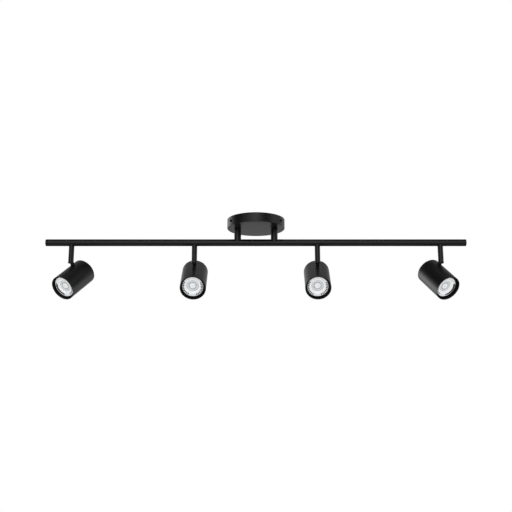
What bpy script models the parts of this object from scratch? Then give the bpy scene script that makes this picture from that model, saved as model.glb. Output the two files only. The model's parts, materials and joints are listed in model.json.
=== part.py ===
"""Four-light rail fixture for a ceiling: a round canopy, two posts, a straight bar and four aimable heads.

Every subcomponent is its own object, in metres, with +Z up. The origin is the centre of the mounting
plate's top face, which lies against the ceiling. The bar runs along X and the heads aim towards -Y.
Each head hangs on two axes, held by empties: its stem turns about a vertical axis (the swivel), and its
tongue turns about a cross pin in the stem's slotted lower end (the tilt).
"""

import math

import bmesh
import bpy
from mathutils import Vector

# Running and assembly gaps, and how far a hole's cutter reaches past the wall it goes through.
GAP = 0.0003
SCREW_GAP = 0.0004
THREAD_GAP = 0.0003
CUT_REACH = 0.0040

# Canopy, an open-topped dish against the ceiling.
CANOPY_DIAMETER = 0.1253
CANOPY_HEIGHT = 0.0200
CANOPY_WALL = 0.0012
CANOPY_EDGE_RADIUS = 0.0012

# Mounting plate inside the canopy, which carries the weight.
PLATE_THICKNESS = 0.0015
PLATE_RIM_CLEARANCE = 0.0019
TAB_WIDTH = 0.0140
TAB_DROP = 0.0150
BRIDGE_WIDTH = 0.0260
WIRE_OPENING_WIDTH = 0.0240
WIRE_OPENING_LENGTH = 0.0560
BOX_SLOT_WIDTH = 0.0046
BOX_SLOT_INNER = 0.0330
BOX_SLOT_OUTER = 0.0470
SIDE_SCREW_ANGLES_DEG = (-150.0, -30.0, 90.0)
SIDE_SCREW_DIAMETER = 0.0032
SIDE_SCREW_HEAD_DIAMETER = 0.0056
SIDE_SCREW_HEAD_HEIGHT = 0.0020
SIDE_SCREW_LENGTH = 0.0085

# Wiring fixed under the plate's bridge.
GROUND_SCREW_DIAMETER = 0.0035
GROUND_SCREW_HEAD_DIAMETER = 0.0070
GROUND_SCREW_HEAD_HEIGHT = 0.0022
GROUND_SCREW_OFFSET = 0.0210
TERMINAL_SIZE = (0.0240, 0.0140, 0.0090)
TERMINAL_WIRE_HOLE = 0.0032
TERMINAL_WAYS = 3

# Posts between canopy and bar, each clamped by a hollow threaded tie.
POST_DIAMETER = 0.0150
POST_WALL = 0.0012
POST_SPACING = 0.0797
CANOPY_TO_BAR_AXIS = 0.0311
TIE_STAND_ABOVE_FLOOR = 0.0080
POST_NUT_WALL = 0.0022
POST_NUT_HEIGHT = 0.0040

# Bar, a round tube closed by two plugs.
BAR_LENGTH = 0.9144
BAR_DIAMETER = 0.0151
BAR_WALL = 0.0012
END_CAP_BAND = 0.0050
END_CAP_SPIGOT = 0.0080
END_CAP_EDGE_RADIUS = 0.0010

# Hollow threads that clamp posts and stems to the bar. Their round nuts and heads seat in its bore.
CLAMP_NUT_CLEARANCE = 0.0010
CLAMP_NUT_HEIGHT = 0.0026
CLAMP_NUT_WALL = 0.00105
THREAD_WALL = 0.0015
NIPPLE_STAND_PAST_NUT = 0.0008

# Stems, which hang from the bar and turn about their own axes.
HEAD_COUNT = 4
STEM_OVERHANG = 0.0564
STEM_DIAMETER = 0.0117
STEM_WALL = 0.0009
STEM_END_BELOW_BAR_AXIS = 0.0456
STEM_LIP_HEIGHT = 0.0013
STEM_LIP_OVERHANG = 0.0005
COLLAR_HEIGHT = 0.0014
SHOULDER_THICKNESS = 0.0020

# Tilting knuckle: a flat tongue in the stem's slot.
PIVOT_ABOVE_STEM_END = 0.0054
PIN_DIAMETER = 0.0030
TONGUE_SIDE_CLEARANCE = 0.00115
TONGUE_THICKNESS = 0.0052
TONGUE_LENGTH = 0.0105
FOOT_WIDTH = 0.0130
FOOT_LENGTH = 0.0130
FOOT_THICKNESS = 0.0015

# Head, sized from the standard lamp that it holds. Depths are measured back from the front rim.
LAMP_DIAMETER = 0.0500
LAMP_CLEARANCE = 0.00036
SHELL_WALL = 0.0012
HEAD_LENGTH = 0.0757
PIVOT_TO_FRONT = 0.0557
REAR_BAND = 0.0040
REAR_PLATE = 0.0015
REAR_SPIGOT = 0.0050
REAR_CHAMFER = 0.0006
VENT_COUNT = 6
VENT_DIAMETER = 0.0040
VENT_CIRCLE_RADIUS = 0.0170
LAMP_RECESS = 0.0060
LAMP_RIM_HEIGHT = 0.0040
LAMP_CONE_LENGTH = 0.0260
LAMP_CONE_END_RADIUS = 0.0150
LAMP_LENGTH = 0.0465
LAMP_BASE_RADIUS = 0.0100
LAMP_BASE_LENGTH = 0.0120
LAMP_PIN_SPACING = 0.0100
LAMP_PIN_DIAMETER = 0.0044
LAMP_PIN_LENGTH = 0.0065
OPTIC_MARGIN = 0.0020
OPTIC_THICKNESS = 0.0027
HOLDER_RADIUS = 0.0125
HOLDER_BOSS_RADIUS = 0.0090
HOLDER_LENGTH = 0.0150
RING_WIRE = 0.0014
RING_GROOVE_DEPTH = 0.0006
RING_GAP_DEG = 50.0
RING_EAR_LENGTH = 0.0035

# How the heads are aimed at rest: degrees of turn about +Z, and degrees below the horizontal.
REST_SWIVELS_DEG = (-32.5, 1.4, 0.7, 31.5)
REST_TILT_DEG = 40.35

# Facets round each kind of turned piece.
WIDE_SIDES = 48
TUBE_SIDES = 24
SHELL_SIDES = 24
SMALL_SIDES = 16
PIN_SIDES = 10
CORNER_STEPS = 3
STRIP_STEPS = 4
RING_STEPS = 22

# Sizes that follow from the ones above.
PLATE_RADIUS = CANOPY_DIAMETER / 2 - CANOPY_WALL - PLATE_RIM_CLEARANCE
CANOPY_FLOOR_TOP = -CANOPY_HEIGHT + CANOPY_WALL
BAR_Z = -CANOPY_HEIGHT - CANOPY_TO_BAR_AXIS
BAR_BORE_RADIUS = BAR_DIAMETER / 2 - BAR_WALL
STEM_SPACING = (BAR_LENGTH - 2 * STEM_OVERHANG) / (HEAD_COUNT - 1)
STEM_TOP_Z = BAR_Z - BAR_DIAMETER / 2 - COLLAR_HEIGHT - GAP
STEM_END_Z = BAR_Z - STEM_END_BELOW_BAR_AXIS
PIVOT_Z = STEM_END_Z + PIVOT_ABOVE_STEM_END
CLAMP_NUT_RADIUS = BAR_BORE_RADIUS - CLAMP_NUT_CLEARANCE
THREAD_RADIUS = CLAMP_NUT_RADIUS - CLAMP_NUT_WALL - THREAD_GAP
THREAD_BORE_RADIUS = THREAD_RADIUS - THREAD_WALL
THREAD_HOLE_RADIUS = THREAD_RADIUS + THREAD_GAP
STEM_BORE_RADIUS = STEM_DIAMETER / 2 - STEM_WALL
TONGUE_WIDTH = 2 * (STEM_BORE_RADIUS - TONGUE_SIDE_CLEARANCE)
SHELL_BORE_RADIUS = LAMP_DIAMETER / 2 + LAMP_CLEARANCE
SHELL_RADIUS = SHELL_BORE_RADIUS + SHELL_WALL
PIVOT_TO_HEAD_AXIS = SHELL_RADIUS + TONGUE_LENGTH
PIVOT_TO_REAR = HEAD_LENGTH - PIVOT_TO_FRONT
SIDE_SCREW_HOLE_RADIUS = SIDE_SCREW_DIAMETER / 2 + SCREW_GAP

# Finish of each material: colour, roughness and metallic value.
FINISHES = {
    "black_coat": ((0.020, 0.020, 0.021, 1.0), 0.42, 0.0),
    "zinc_steel": ((0.62, 0.62, 0.60, 1.0), 0.35, 1.0),
    "black_screw": ((0.015, 0.015, 0.015, 1.0), 0.35, 0.6),
    "lamp_white": ((0.80, 0.80, 0.78, 1.0), 0.45, 0.0),
    "lamp_optic": ((0.88, 0.90, 0.92, 1.0), 0.08, 0.0),
    "ceramic": ((0.85, 0.83, 0.78, 1.0), 0.50, 0.0),
    "terminal_plastic": ((0.82, 0.82, 0.80, 1.0), 0.50, 0.0),
    "ground_brass": ((0.15, 0.42, 0.18, 1.0), 0.40, 0.8),
}


def clear_scene():
    for item in list(bpy.data.objects):
        bpy.data.objects.remove(item, do_unlink=True)


def finish_for(node, finish):
    """A Principled material of the node's own, in one of the named finishes."""
    colour, roughness, metallic = FINISHES[finish]
    material = bpy.data.materials.new(node)
    material.use_nodes = True
    shader = material.node_tree.nodes["Principled BSDF"]
    shader.inputs["Base Color"].default_value = colour
    shader.inputs["Roughness"].default_value = roughness
    shader.inputs["Metallic"].default_value = metallic
    material.diffuse_color = colour
    return material


def object_from(bm, name, smooth_angle_deg=35.0):
    """Turns a bmesh into an object in the scene, shaded smooth except at its sharp edges."""
    bmesh.ops.recalc_face_normals(bm, faces=bm.faces)
    mesh = bpy.data.meshes.new(name)
    bm.to_mesh(mesh)
    bm.free()
    mesh.shade_smooth()
    mesh.set_sharp_from_angle(angle=math.radians(smooth_angle_deg))
    item = bpy.data.objects.new(name, mesh)
    bpy.context.scene.collection.objects.link(item)
    return item


def turned(name, outline, sides):
    """A solid turned about Z. The outline is a loop of (radius, height) points."""
    bm = bmesh.new()
    points = [bm.verts.new((radius, 0.0, height)) for radius, height in outline]
    edges = []
    for first, second in zip(points, points[1:] + points[:1]):
        if first.co.x > 0.0 or second.co.x > 0.0:
            edges.append(bm.edges.new((first, second)))
    bmesh.ops.spin(
        bm, geom=points + edges, cent=(0, 0, 0), axis=(0, 0, 1),
        angle=math.tau, steps=sides, use_merge=True,
    )
    bmesh.ops.remove_doubles(bm, verts=bm.verts, dist=1e-6)
    return object_from(bm, name)


def extruded(name, outline, low, high):
    """A prism: a loop of (x, y) points, drawn up from z = low to z = high."""
    bm = bmesh.new()
    face = bm.faces.new([bm.verts.new((x, y, low)) for x, y in outline])
    grown = bmesh.ops.extrude_face_region(bm, geom=[face])
    risen = [part for part in grown["geom"] if isinstance(part, bmesh.types.BMVert)]
    bmesh.ops.translate(bm, verts=risen, vec=(0, 0, high - low))
    return object_from(bm, name)


def block(name, low, high):
    """A box from its lowest corner to its highest."""
    outline = [(low[0], low[1]), (high[0], low[1]), (high[0], high[1]), (low[0], high[1])]
    return extruded(name, outline, low[2], high[2])


def rod(name, radius, low, high, sides=SMALL_SIDES):
    """A plain round rod along Z."""
    return turned(name, [(0, low), (radius, low), (radius, high), (0, high)], sides)


def arc(centre, radius, start_deg, end_deg, steps):
    """Points along an arc, both ends included."""
    found = []
    for step in range(steps + 1):
        angle = math.radians(start_deg + (end_deg - start_deg) * step / steps)
        found.append((centre[0] + radius * math.cos(angle), centre[1] + radius * math.sin(angle)))
    return found


def obround(width, length):
    """The outline of a slot along Y, with round ends."""
    reach = (length - width) / 2
    ends = 2 * CORNER_STEPS
    return arc((0, reach), width / 2, 0, 180, ends) + arc((0, -reach), width / 2, 180, 360, ends)


def place(item, parent=None, location=(0, 0, 0), rotation_deg=(0, 0, 0)):
    item.parent = parent
    item.location = location
    item.rotation_euler = [math.radians(angle) for angle in rotation_deg]
    return item


def combine(target, tool, operation):
    """A Boolean on the target, whose tool stays in the scene as a hidden guide."""
    tool.hide_render = True
    tool.display_type = "WIRE"
    modifier = target.modifiers.new(tool.name, "BOOLEAN")
    modifier.operation = operation
    modifier.solver = "EXACT"
    modifier.object = tool


def cut(target, tool):
    combine(target, tool, "DIFFERENCE")


def weld(target, tool):
    combine(target, tool, "UNION")


def dress(item, finish):
    item.data.materials.append(finish_for(item.name, finish))
    return item


def pivot(name, parent=None, location=(0, 0, 0), rotation_deg=(0, 0, 0)):
    """An empty on a joint's axis."""
    empty = bpy.data.objects.new(name, None)
    empty.empty_display_size = 0.02
    bpy.context.scene.collection.objects.link(empty)
    return place(empty, parent, location, rotation_deg)


def round_the_plate(angle_deg, radius, height=0.0):
    angle = math.radians(angle_deg)
    return (radius * math.cos(angle), radius * math.sin(angle), height)


def make_mounting_plate():
    """A steel disc with three down-turned tabs, two wire openings and two slots for the box screws."""
    plate = rod("mounting_plate", PLATE_RADIUS, -PLATE_THICKNESS, 0.0, WIDE_SIDES)
    for number, angle in enumerate(SIDE_SCREW_ANGLES_DEG, 1):
        half = TAB_WIDTH / 2
        outer = PLATE_RADIUS - GAP
        low = (outer - PLATE_THICKNESS, -half, -TAB_DROP)
        tab = block(f"tab_{number}", low, (outer, half, -PLATE_THICKNESS / 2))
        place(tab, rotation_deg=(0, 0, angle))
        weld(plate, tab)
        hole = rod(f"tab_hole_{number}", SIDE_SCREW_HOLE_RADIUS, -CUT_REACH, CUT_REACH, PIN_SIDES)
        centre = round_the_plate(angle, outer - PLATE_THICKNESS / 2, -CANOPY_HEIGHT / 2)
        place(hole, None, centre, (0, 90, angle))
        cut(plate, hole)
    for side in (-1, 1):
        centre_x = side * (BRIDGE_WIDTH + WIRE_OPENING_WIDTH) / 2
        opening = block(
            f"wire_opening_{side}",
            (-WIRE_OPENING_WIDTH / 2, -WIRE_OPENING_LENGTH / 2, -2 * PLATE_THICKNESS),
            (WIRE_OPENING_WIDTH / 2, WIRE_OPENING_LENGTH / 2, PLATE_THICKNESS),
        )
        cut(plate, place(opening, None, (centre_x, 0, 0)))
        slot = extruded(
            f"box_slot_{side}",
            obround(BOX_SLOT_WIDTH, BOX_SLOT_OUTER - BOX_SLOT_INNER),
            -2 * PLATE_THICKNESS,
            PLATE_THICKNESS,
        )
        cut(plate, place(slot, None, (0, side * (BOX_SLOT_INNER + BOX_SLOT_OUTER) / 2, 0)))
    seat = rod("ground_hole", GROUND_SCREW_DIAMETER / 2 + SCREW_GAP, -CUT_REACH, CUT_REACH, PIN_SIDES)
    cut(plate, place(seat, None, (0, GROUND_SCREW_OFFSET, 0)))
    return dress(plate, "zinc_steel")


def make_wiring_pieces():
    """The ground screw and the terminal block under the plate's bridge."""
    head_top = -PLATE_THICKNESS - GAP
    outline = [
        (0, -GAP),
        (GROUND_SCREW_DIAMETER / 2, -GAP),
        (GROUND_SCREW_DIAMETER / 2, head_top),
        (GROUND_SCREW_HEAD_DIAMETER / 2, head_top),
        (GROUND_SCREW_HEAD_DIAMETER / 2, head_top - GROUND_SCREW_HEAD_HEIGHT / 2),
        (GROUND_SCREW_DIAMETER / 2, head_top - GROUND_SCREW_HEAD_HEIGHT),
        (0, head_top - GROUND_SCREW_HEAD_HEIGHT),
    ]
    screw = turned("ground_screw", outline, PIN_SIDES)
    dress(place(screw, None, (0, GROUND_SCREW_OFFSET, 0)), "ground_brass")

    length, depth, height = TERMINAL_SIZE
    body = block(
        "terminal_block",
        (-length / 2, -GROUND_SCREW_OFFSET - depth / 2, head_top - height),
        (length / 2, -GROUND_SCREW_OFFSET + depth / 2, head_top),
    )
    for way in range(TERMINAL_WAYS):
        across = (way - (TERMINAL_WAYS - 1) / 2) * length / TERMINAL_WAYS
        hole = rod(f"terminal_hole_{way}", TERMINAL_WIRE_HOLE / 2, -depth, depth, PIN_SIDES)
        place(hole, None, (across, -GROUND_SCREW_OFFSET, head_top - height / 2), (90, 0, 0))
        cut(body, hole)
    dress(body, "terminal_plastic")


def make_canopy():
    """An open-topped dish with a rounded lower edge."""
    radius = CANOPY_DIAMETER / 2
    edge = CANOPY_EDGE_RADIUS
    corner = arc((radius - edge, -CANOPY_HEIGHT + edge), edge, 0, -90, CORNER_STEPS)
    inner = radius - CANOPY_WALL
    outline = [(radius, 0.0)] + corner + [(0, -CANOPY_HEIGHT), (0, CANOPY_FLOOR_TOP)]
    outline += [(inner, CANOPY_FLOOR_TOP), (inner, 0.0)]
    canopy = turned("canopy", outline, WIDE_SIDES)
    for side in (-1, 1):
        hole = rod(f"canopy_post_hole_{side}", THREAD_HOLE_RADIUS, -CUT_REACH, CUT_REACH)
        cut(canopy, place(hole, None, (side * POST_SPACING / 2, 0, -CANOPY_HEIGHT)))
    for number, angle in enumerate(SIDE_SCREW_ANGLES_DEG, 1):
        hole = rod(f"canopy_side_hole_{number}", SIDE_SCREW_HOLE_RADIUS, -CUT_REACH, CUT_REACH, PIN_SIDES)
        place(hole, None, round_the_plate(angle, radius, -CANOPY_HEIGHT / 2), (0, 90, angle))
        cut(canopy, hole)
    return dress(canopy, "black_coat")


def make_canopy_screws():
    """Three screws through the canopy's wall into the plate's tabs."""
    under_head = GAP
    tip = under_head - SIDE_SCREW_LENGTH
    outline = [
        (0, tip),
        (SIDE_SCREW_DIAMETER / 2, tip),
        (SIDE_SCREW_DIAMETER / 2, under_head),
        (SIDE_SCREW_HEAD_DIAMETER / 2, under_head),
        (SIDE_SCREW_HEAD_DIAMETER / 2, under_head + SIDE_SCREW_HEAD_HEIGHT / 2),
        (SIDE_SCREW_DIAMETER / 2, under_head + SIDE_SCREW_HEAD_HEIGHT),
        (0, under_head + SIDE_SCREW_HEAD_HEIGHT),
    ]
    for number, angle in enumerate(SIDE_SCREW_ANGLES_DEG, 1):
        screw = turned(f"canopy_screw_{number}", outline, PIN_SIDES)
        centre = round_the_plate(angle, CANOPY_DIAMETER / 2, -CANOPY_HEIGHT / 2)
        dress(place(screw, None, centre, (0, 90, angle)), "black_screw")


def make_posts():
    """Two tubes that stand on the bar, each with the hollow tie and the nut that clamp it."""
    for side, word in ((-1, "left"), (1, "right")):
        centre_x = side * POST_SPACING / 2
        outer = POST_DIAMETER / 2
        inner = outer - POST_WALL
        top = -CANOPY_HEIGHT - GAP
        ring = [(inner, BAR_Z), (outer, BAR_Z), (outer, top), (inner, top)]
        post = turned(f"post_{word}", ring, TUBE_SIDES)
        place(post, None, (centre_x, 0, 0))
        saddle = rod(f"post_saddle_{word}", BAR_DIAMETER / 2 + GAP, -POST_DIAMETER, POST_DIAMETER, TUBE_SIDES)
        cut(post, place(saddle, None, (centre_x, 0, BAR_Z), (0, 90, 0)))
        dress(post, "black_coat")

        bore = THREAD_BORE_RADIUS
        shank = THREAD_RADIUS
        head = CLAMP_NUT_RADIUS
        head_top = BAR_Z + nut_seat_height()
        tie_top = CANOPY_FLOOR_TOP + TIE_STAND_ABOVE_FLOOR
        outline = [
            (bore, head_top - CLAMP_NUT_HEIGHT),
            (head, head_top - CLAMP_NUT_HEIGHT),
            (head, head_top),
            (shank, head_top),
            (shank, tie_top),
            (bore, tie_top),
        ]
        tie = turned(f"post_tie_{word}", outline, SMALL_SIDES)
        dress(place(tie, None, (centre_x, 0, 0)), "zinc_steel")

        corner = 2 * (THREAD_HOLE_RADIUS + POST_NUT_WALL) / math.sqrt(3)
        hexagon = arc((0, 0), corner, 0, 300, 5)
        base = CANOPY_FLOOR_TOP + GAP
        nut = extruded(f"post_nut_{word}", hexagon, base, base + POST_NUT_HEIGHT)
        place(nut, None, (centre_x, 0, 0))
        top = base + POST_NUT_HEIGHT
        thread = rod(f"post_nut_thread_{word}", THREAD_HOLE_RADIUS, base - CUT_REACH, top + CUT_REACH)
        cut(nut, place(thread, None, (centre_x, 0, 0)))
        dress(nut, "zinc_steel")


def nut_seat_height():
    """How far from the bar's axis a round clamping face meets the bar's bore, less the assembly gap."""
    return math.sqrt(BAR_BORE_RADIUS**2 - CLAMP_NUT_RADIUS**2) - GAP


def head_positions():
    """The x of each stem, from left to right."""
    first = -STEM_SPACING * (HEAD_COUNT - 1) / 2
    return [first + STEM_SPACING * number for number in range(HEAD_COUNT)]


def make_bar():
    """The bar's tube, with a hole below for each stem's nipple and one above for each post's tie."""
    outer = BAR_DIAMETER / 2
    half = BAR_LENGTH / 2 - END_CAP_BAND - GAP
    ring = [(BAR_BORE_RADIUS, -half), (outer, -half), (outer, half), (BAR_BORE_RADIUS, half)]
    bar = turned("bar_tube", ring, TUBE_SIDES)
    place(bar, None, (0, 0, BAR_Z), (0, 90, 0))
    for number, centre_x in enumerate(head_positions(), 1):
        hole = rod(f"nipple_hole_{number}", THREAD_HOLE_RADIUS, -outer - CUT_REACH, 0.0)
        cut(bar, place(hole, None, (centre_x, 0, BAR_Z)))
    for side in (-1, 1):
        hole = rod(f"tie_hole_{side}", THREAD_HOLE_RADIUS, 0.0, outer + CUT_REACH)
        cut(bar, place(hole, None, (side * POST_SPACING / 2, 0, BAR_Z)))
    dress(bar, "black_coat")

    edge = END_CAP_EDGE_RADIUS
    corner = arc((outer - edge, END_CAP_BAND - edge), edge, 0, 90, CORNER_STEPS)
    spigot = BAR_BORE_RADIUS - GAP
    outline = [(0, -END_CAP_SPIGOT), (spigot, -END_CAP_SPIGOT), (spigot, 0), (outer, 0)]
    outline += corner + [(0, END_CAP_BAND)]
    for side, word in ((-1, "left"), (1, "right")):
        cap = turned(f"end_cap_{word}", outline, TUBE_SIDES)
        place(cap, None, (side * (BAR_LENGTH / 2 - END_CAP_BAND), 0, BAR_Z), (0, side * 90, 0))
        dress(cap, "black_coat")


def make_stem_top(number, centre_x, swivel):
    """The fixed collar under the bar, and the turning nut that clamps the nipple from inside it."""
    radius = STEM_DIAMETER / 2
    bore = THREAD_HOLE_RADIUS
    low = STEM_TOP_Z + GAP
    ring = [(bore, low), (radius, low), (radius, BAR_Z), (bore, BAR_Z)]
    collar = turned(f"stem_collar_{number}", ring, SMALL_SIDES)
    place(collar, None, (centre_x, 0, 0))
    saddle = rod(f"collar_saddle_{number}", BAR_DIAMETER / 2 + GAP, -STEM_DIAMETER, STEM_DIAMETER, TUBE_SIDES)
    cut(collar, place(saddle, None, (centre_x, 0, BAR_Z), (0, 90, 0)))
    dress(collar, "black_coat")

    base = -nut_seat_height()
    ring = [(bore, base), (CLAMP_NUT_RADIUS, base)]
    ring += [(CLAMP_NUT_RADIUS, base + CLAMP_NUT_HEIGHT), (bore, base + CLAMP_NUT_HEIGHT)]
    nut = turned(f"swivel_nut_{number}", ring, SMALL_SIDES)
    dress(place(nut, swivel), "zinc_steel")


def make_stem(number, swivel):
    """The turning stem: a tube with a nipple on top, and below a lip, a pin hole and a slot at the back."""
    radius = STEM_DIAMETER / 2
    lip = radius + STEM_LIP_OVERHANG
    top = STEM_TOP_Z - BAR_Z
    end = STEM_END_Z - BAR_Z
    nipple_top = -nut_seat_height() + CLAMP_NUT_HEIGHT + NIPPLE_STAND_PAST_NUT
    outline = [
        (STEM_BORE_RADIUS, end),
        (lip, end),
        (lip, end + STEM_LIP_HEIGHT),
        (radius, end + STEM_LIP_HEIGHT),
        (radius, top),
        (THREAD_RADIUS, top),
        (THREAD_RADIUS, nipple_top),
        (THREAD_BORE_RADIUS, nipple_top),
        (THREAD_BORE_RADIUS, top - SHOULDER_THICKNESS),
        (STEM_BORE_RADIUS, top - SHOULDER_THICKNESS),
    ]
    stem = turned(f"stem_{number}", outline, SMALL_SIDES)
    place(stem, swivel)
    pin_z = PIVOT_Z - BAR_Z
    slot_half = TONGUE_WIDTH / 2 + GAP
    slot_top = pin_z + TONGUE_THICKNESS / 2 + GAP
    slot_low = (-slot_half, 0, end - CUT_REACH)
    slot = block(f"stem_slot_{number}", slot_low, (slot_half, 2 * radius, slot_top))
    cut(stem, place(slot, swivel))
    hole = rod(f"stem_pin_hole_{number}", PIN_DIAMETER / 2 + GAP, -2 * radius, 2 * radius, PIN_SIDES)
    cut(stem, place(hole, swivel, (0, 0, pin_z), (0, 90, 0)))
    dress(stem, "black_coat")

    reach = radius - GAP
    pin = rod(f"pivot_pin_{number}", PIN_DIAMETER / 2, -reach, reach, PIN_SIDES)
    dress(place(pin, swivel, (0, 0, pin_z), (0, 90, 0)), "black_screw")


def make_tongue(number, tilt):
    """The flat tongue that the pin holds, with a curved foot clamped inside the shell."""
    half = TONGUE_THICKNESS / 2
    foot_radius = SHELL_BORE_RADIUS - GAP
    root = PIVOT_TO_HEAD_AXIS - foot_radius + FOOT_THICKNESS / 2
    side_view = arc((0, 0), half, 0, 180, 2 * CORNER_STEPS) + [(-half, -root), (half, -root)]
    tongue = extruded(f"tongue_{number}", side_view, -TONGUE_WIDTH / 2, TONGUE_WIDTH / 2)
    place(tongue, tilt, (0, 0, 0), (90, 0, 90))
    foot = extruded(
        f"tongue_foot_{number}",
        curved_strip(foot_radius - FOOT_THICKNESS, foot_radius, FOOT_WIDTH),
        -FOOT_LENGTH / 2,
        FOOT_LENGTH / 2,
    )
    weld(tongue, place(foot, tilt, (0, 0, -PIVOT_TO_HEAD_AXIS), (90, 0, 0)))
    hole = rod(f"tongue_pin_hole_{number}", PIN_DIAMETER / 2 + GAP, -TONGUE_WIDTH, TONGUE_WIDTH, PIN_SIDES)
    cut(tongue, place(hole, tilt, (0, 0, 0), (0, 90, 0)))
    dress(tongue, "black_coat")


def curved_strip(inner, outer, width):
    """The end view of a strip bent to a cylinder about Z, centred on +Y."""
    spread = math.degrees(width / 2 / outer)
    low = 90 - spread
    high = 90 + spread
    return arc((0, 0), outer, low, high, STRIP_STEPS) + arc((0, 0), inner, high, low, STRIP_STEPS)


def on_head_axis(item, tilt):
    """Puts a piece turned about Z on the head's axis, with +Z forward and its zero beside the pin."""
    return place(item, tilt, (0, 0, -PIVOT_TO_HEAD_AXIS), (90, 0, 0))


def make_shell(number, tilt):
    """The tubular housing, with an inner groove for the retaining ring and a slot for the tongue."""
    front = PIVOT_TO_FRONT
    back = -PIVOT_TO_REAR + REAR_BAND + GAP
    groove_middle = front - LAMP_RECESS + GAP + RING_WIRE / 2
    groove_half = RING_WIRE / 2 + GAP
    groove_radius = SHELL_BORE_RADIUS + RING_GROOVE_DEPTH
    outline = [
        (SHELL_RADIUS, back),
        (SHELL_RADIUS, front),
        (SHELL_BORE_RADIUS, front),
        (SHELL_BORE_RADIUS, groove_middle + groove_half),
        (groove_radius, groove_middle + groove_half),
        (groove_radius, groove_middle - groove_half),
        (SHELL_BORE_RADIUS, groove_middle - groove_half),
        (SHELL_BORE_RADIUS, back),
    ]
    shell = on_head_axis(turned(f"shell_{number}", outline, SHELL_SIDES), tilt)
    half_width = TONGUE_WIDTH / 2 + GAP
    half_thickness = TONGUE_THICKNESS / 2 + GAP
    slot = block(
        f"shell_slot_{number}",
        (-half_width, -half_thickness, -PIVOT_TO_HEAD_AXIS + SHELL_BORE_RADIUS / 2),
        (half_width, half_thickness, 0.0),
    )
    cut(shell, place(slot, tilt))
    dress(shell, "black_coat")


def make_rear_cap(number, tilt):
    """The cap that closes the shell, with a ring of vents and a boss for the lamp holder."""
    back = -PIVOT_TO_REAR
    seat = back + REAR_BAND
    spigot_outer = SHELL_BORE_RADIUS - GAP
    spigot_inner = spigot_outer - SHELL_WALL
    boss_front = holder_back()
    outline = [
        (0, back),
        (SHELL_RADIUS - REAR_CHAMFER, back),
        (SHELL_RADIUS, back + REAR_CHAMFER),
        (SHELL_RADIUS, seat),
        (spigot_outer, seat),
        (spigot_outer, seat + REAR_SPIGOT),
        (spigot_inner, seat + REAR_SPIGOT),
        (spigot_inner, back + REAR_PLATE),
        (HOLDER_BOSS_RADIUS, back + REAR_PLATE),
        (HOLDER_BOSS_RADIUS, boss_front),
        (0, boss_front),
    ]
    cap = on_head_axis(turned(f"rear_cap_{number}", outline, SHELL_SIDES), tilt)
    for vent in range(VENT_COUNT):
        angle = math.tau * vent / VENT_COUNT
        hole = rod(f"vent_{number}_{vent}", VENT_DIAMETER / 2, -CUT_REACH, CUT_REACH, PIN_SIDES)
        across = VENT_CIRCLE_RADIUS * math.cos(angle)
        up = VENT_CIRCLE_RADIUS * math.sin(angle)
        place(hole, tilt, (across, -back, up - PIVOT_TO_HEAD_AXIS), (90, 0, 0))
        cut(cap, hole)
    dress(cap, "black_coat")


def lamp_front():
    """Where the lamp's front face lies along the head's axis."""
    return PIVOT_TO_FRONT - LAMP_RECESS


def holder_front():
    return lamp_front() - LAMP_LENGTH - GAP


def holder_back():
    return holder_front() - HOLDER_LENGTH - GAP


def make_lamp(number, tilt):
    """The twist-lock reflector lamp: its body with two contact pins, and the optic in its mouth."""
    front = lamp_front()
    base_end = front - LAMP_LENGTH
    radius = LAMP_DIAMETER / 2
    mouth = radius - OPTIC_MARGIN
    mouth_floor = front - OPTIC_THICKNESS - 2 * GAP
    cone_start = front - LAMP_RIM_HEIGHT
    cone_end = cone_start - LAMP_CONE_LENGTH
    outline = [
        (0, mouth_floor),
        (mouth, mouth_floor),
        (mouth, front),
        (radius, front),
        (radius, cone_start),
        (LAMP_CONE_END_RADIUS, cone_end),
        (LAMP_BASE_RADIUS, base_end + LAMP_BASE_LENGTH),
        (LAMP_BASE_RADIUS, base_end),
        (0, base_end),
    ]
    body = on_head_axis(turned(f"lamp_body_{number}", outline, SHELL_SIDES), tilt)
    for side in (-1, 1):
        pin = rod(
            f"lamp_pin_{number}_{side}",
            LAMP_PIN_DIAMETER / 2,
            base_end - LAMP_PIN_LENGTH,
            base_end + LAMP_PIN_DIAMETER,
            PIN_SIDES,
        )
        weld(body, place(pin, tilt, (side * LAMP_PIN_SPACING / 2, 0, -PIVOT_TO_HEAD_AXIS), (90, 0, 0)))
    dress(body, "lamp_white")

    lens_front = front - GAP
    lens_radius = mouth - GAP
    optic = rod(f"lamp_optic_{number}", lens_radius, lens_front - OPTIC_THICKNESS, lens_front, SHELL_SIDES)
    dress(on_head_axis(optic, tilt), "lamp_optic")


def make_lamp_holder(number, tilt):
    """The ceramic holder that takes the lamp's two pins."""
    holder = rod(f"lamp_holder_{number}", HOLDER_RADIUS, holder_back() + GAP, holder_front())
    on_head_axis(holder, tilt)
    for side in (-1, 1):
        socket = rod(
            f"holder_socket_{number}_{side}",
            LAMP_PIN_DIAMETER / 2 + GAP,
            holder_front() - LAMP_PIN_LENGTH - 2 * GAP,
            holder_front() + CUT_REACH,
            PIN_SIDES,
        )
        cut(holder, place(socket, tilt, (side * LAMP_PIN_SPACING / 2, 0, -PIVOT_TO_HEAD_AXIS), (90, 0, 0)))
    dress(holder, "ceramic")


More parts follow.
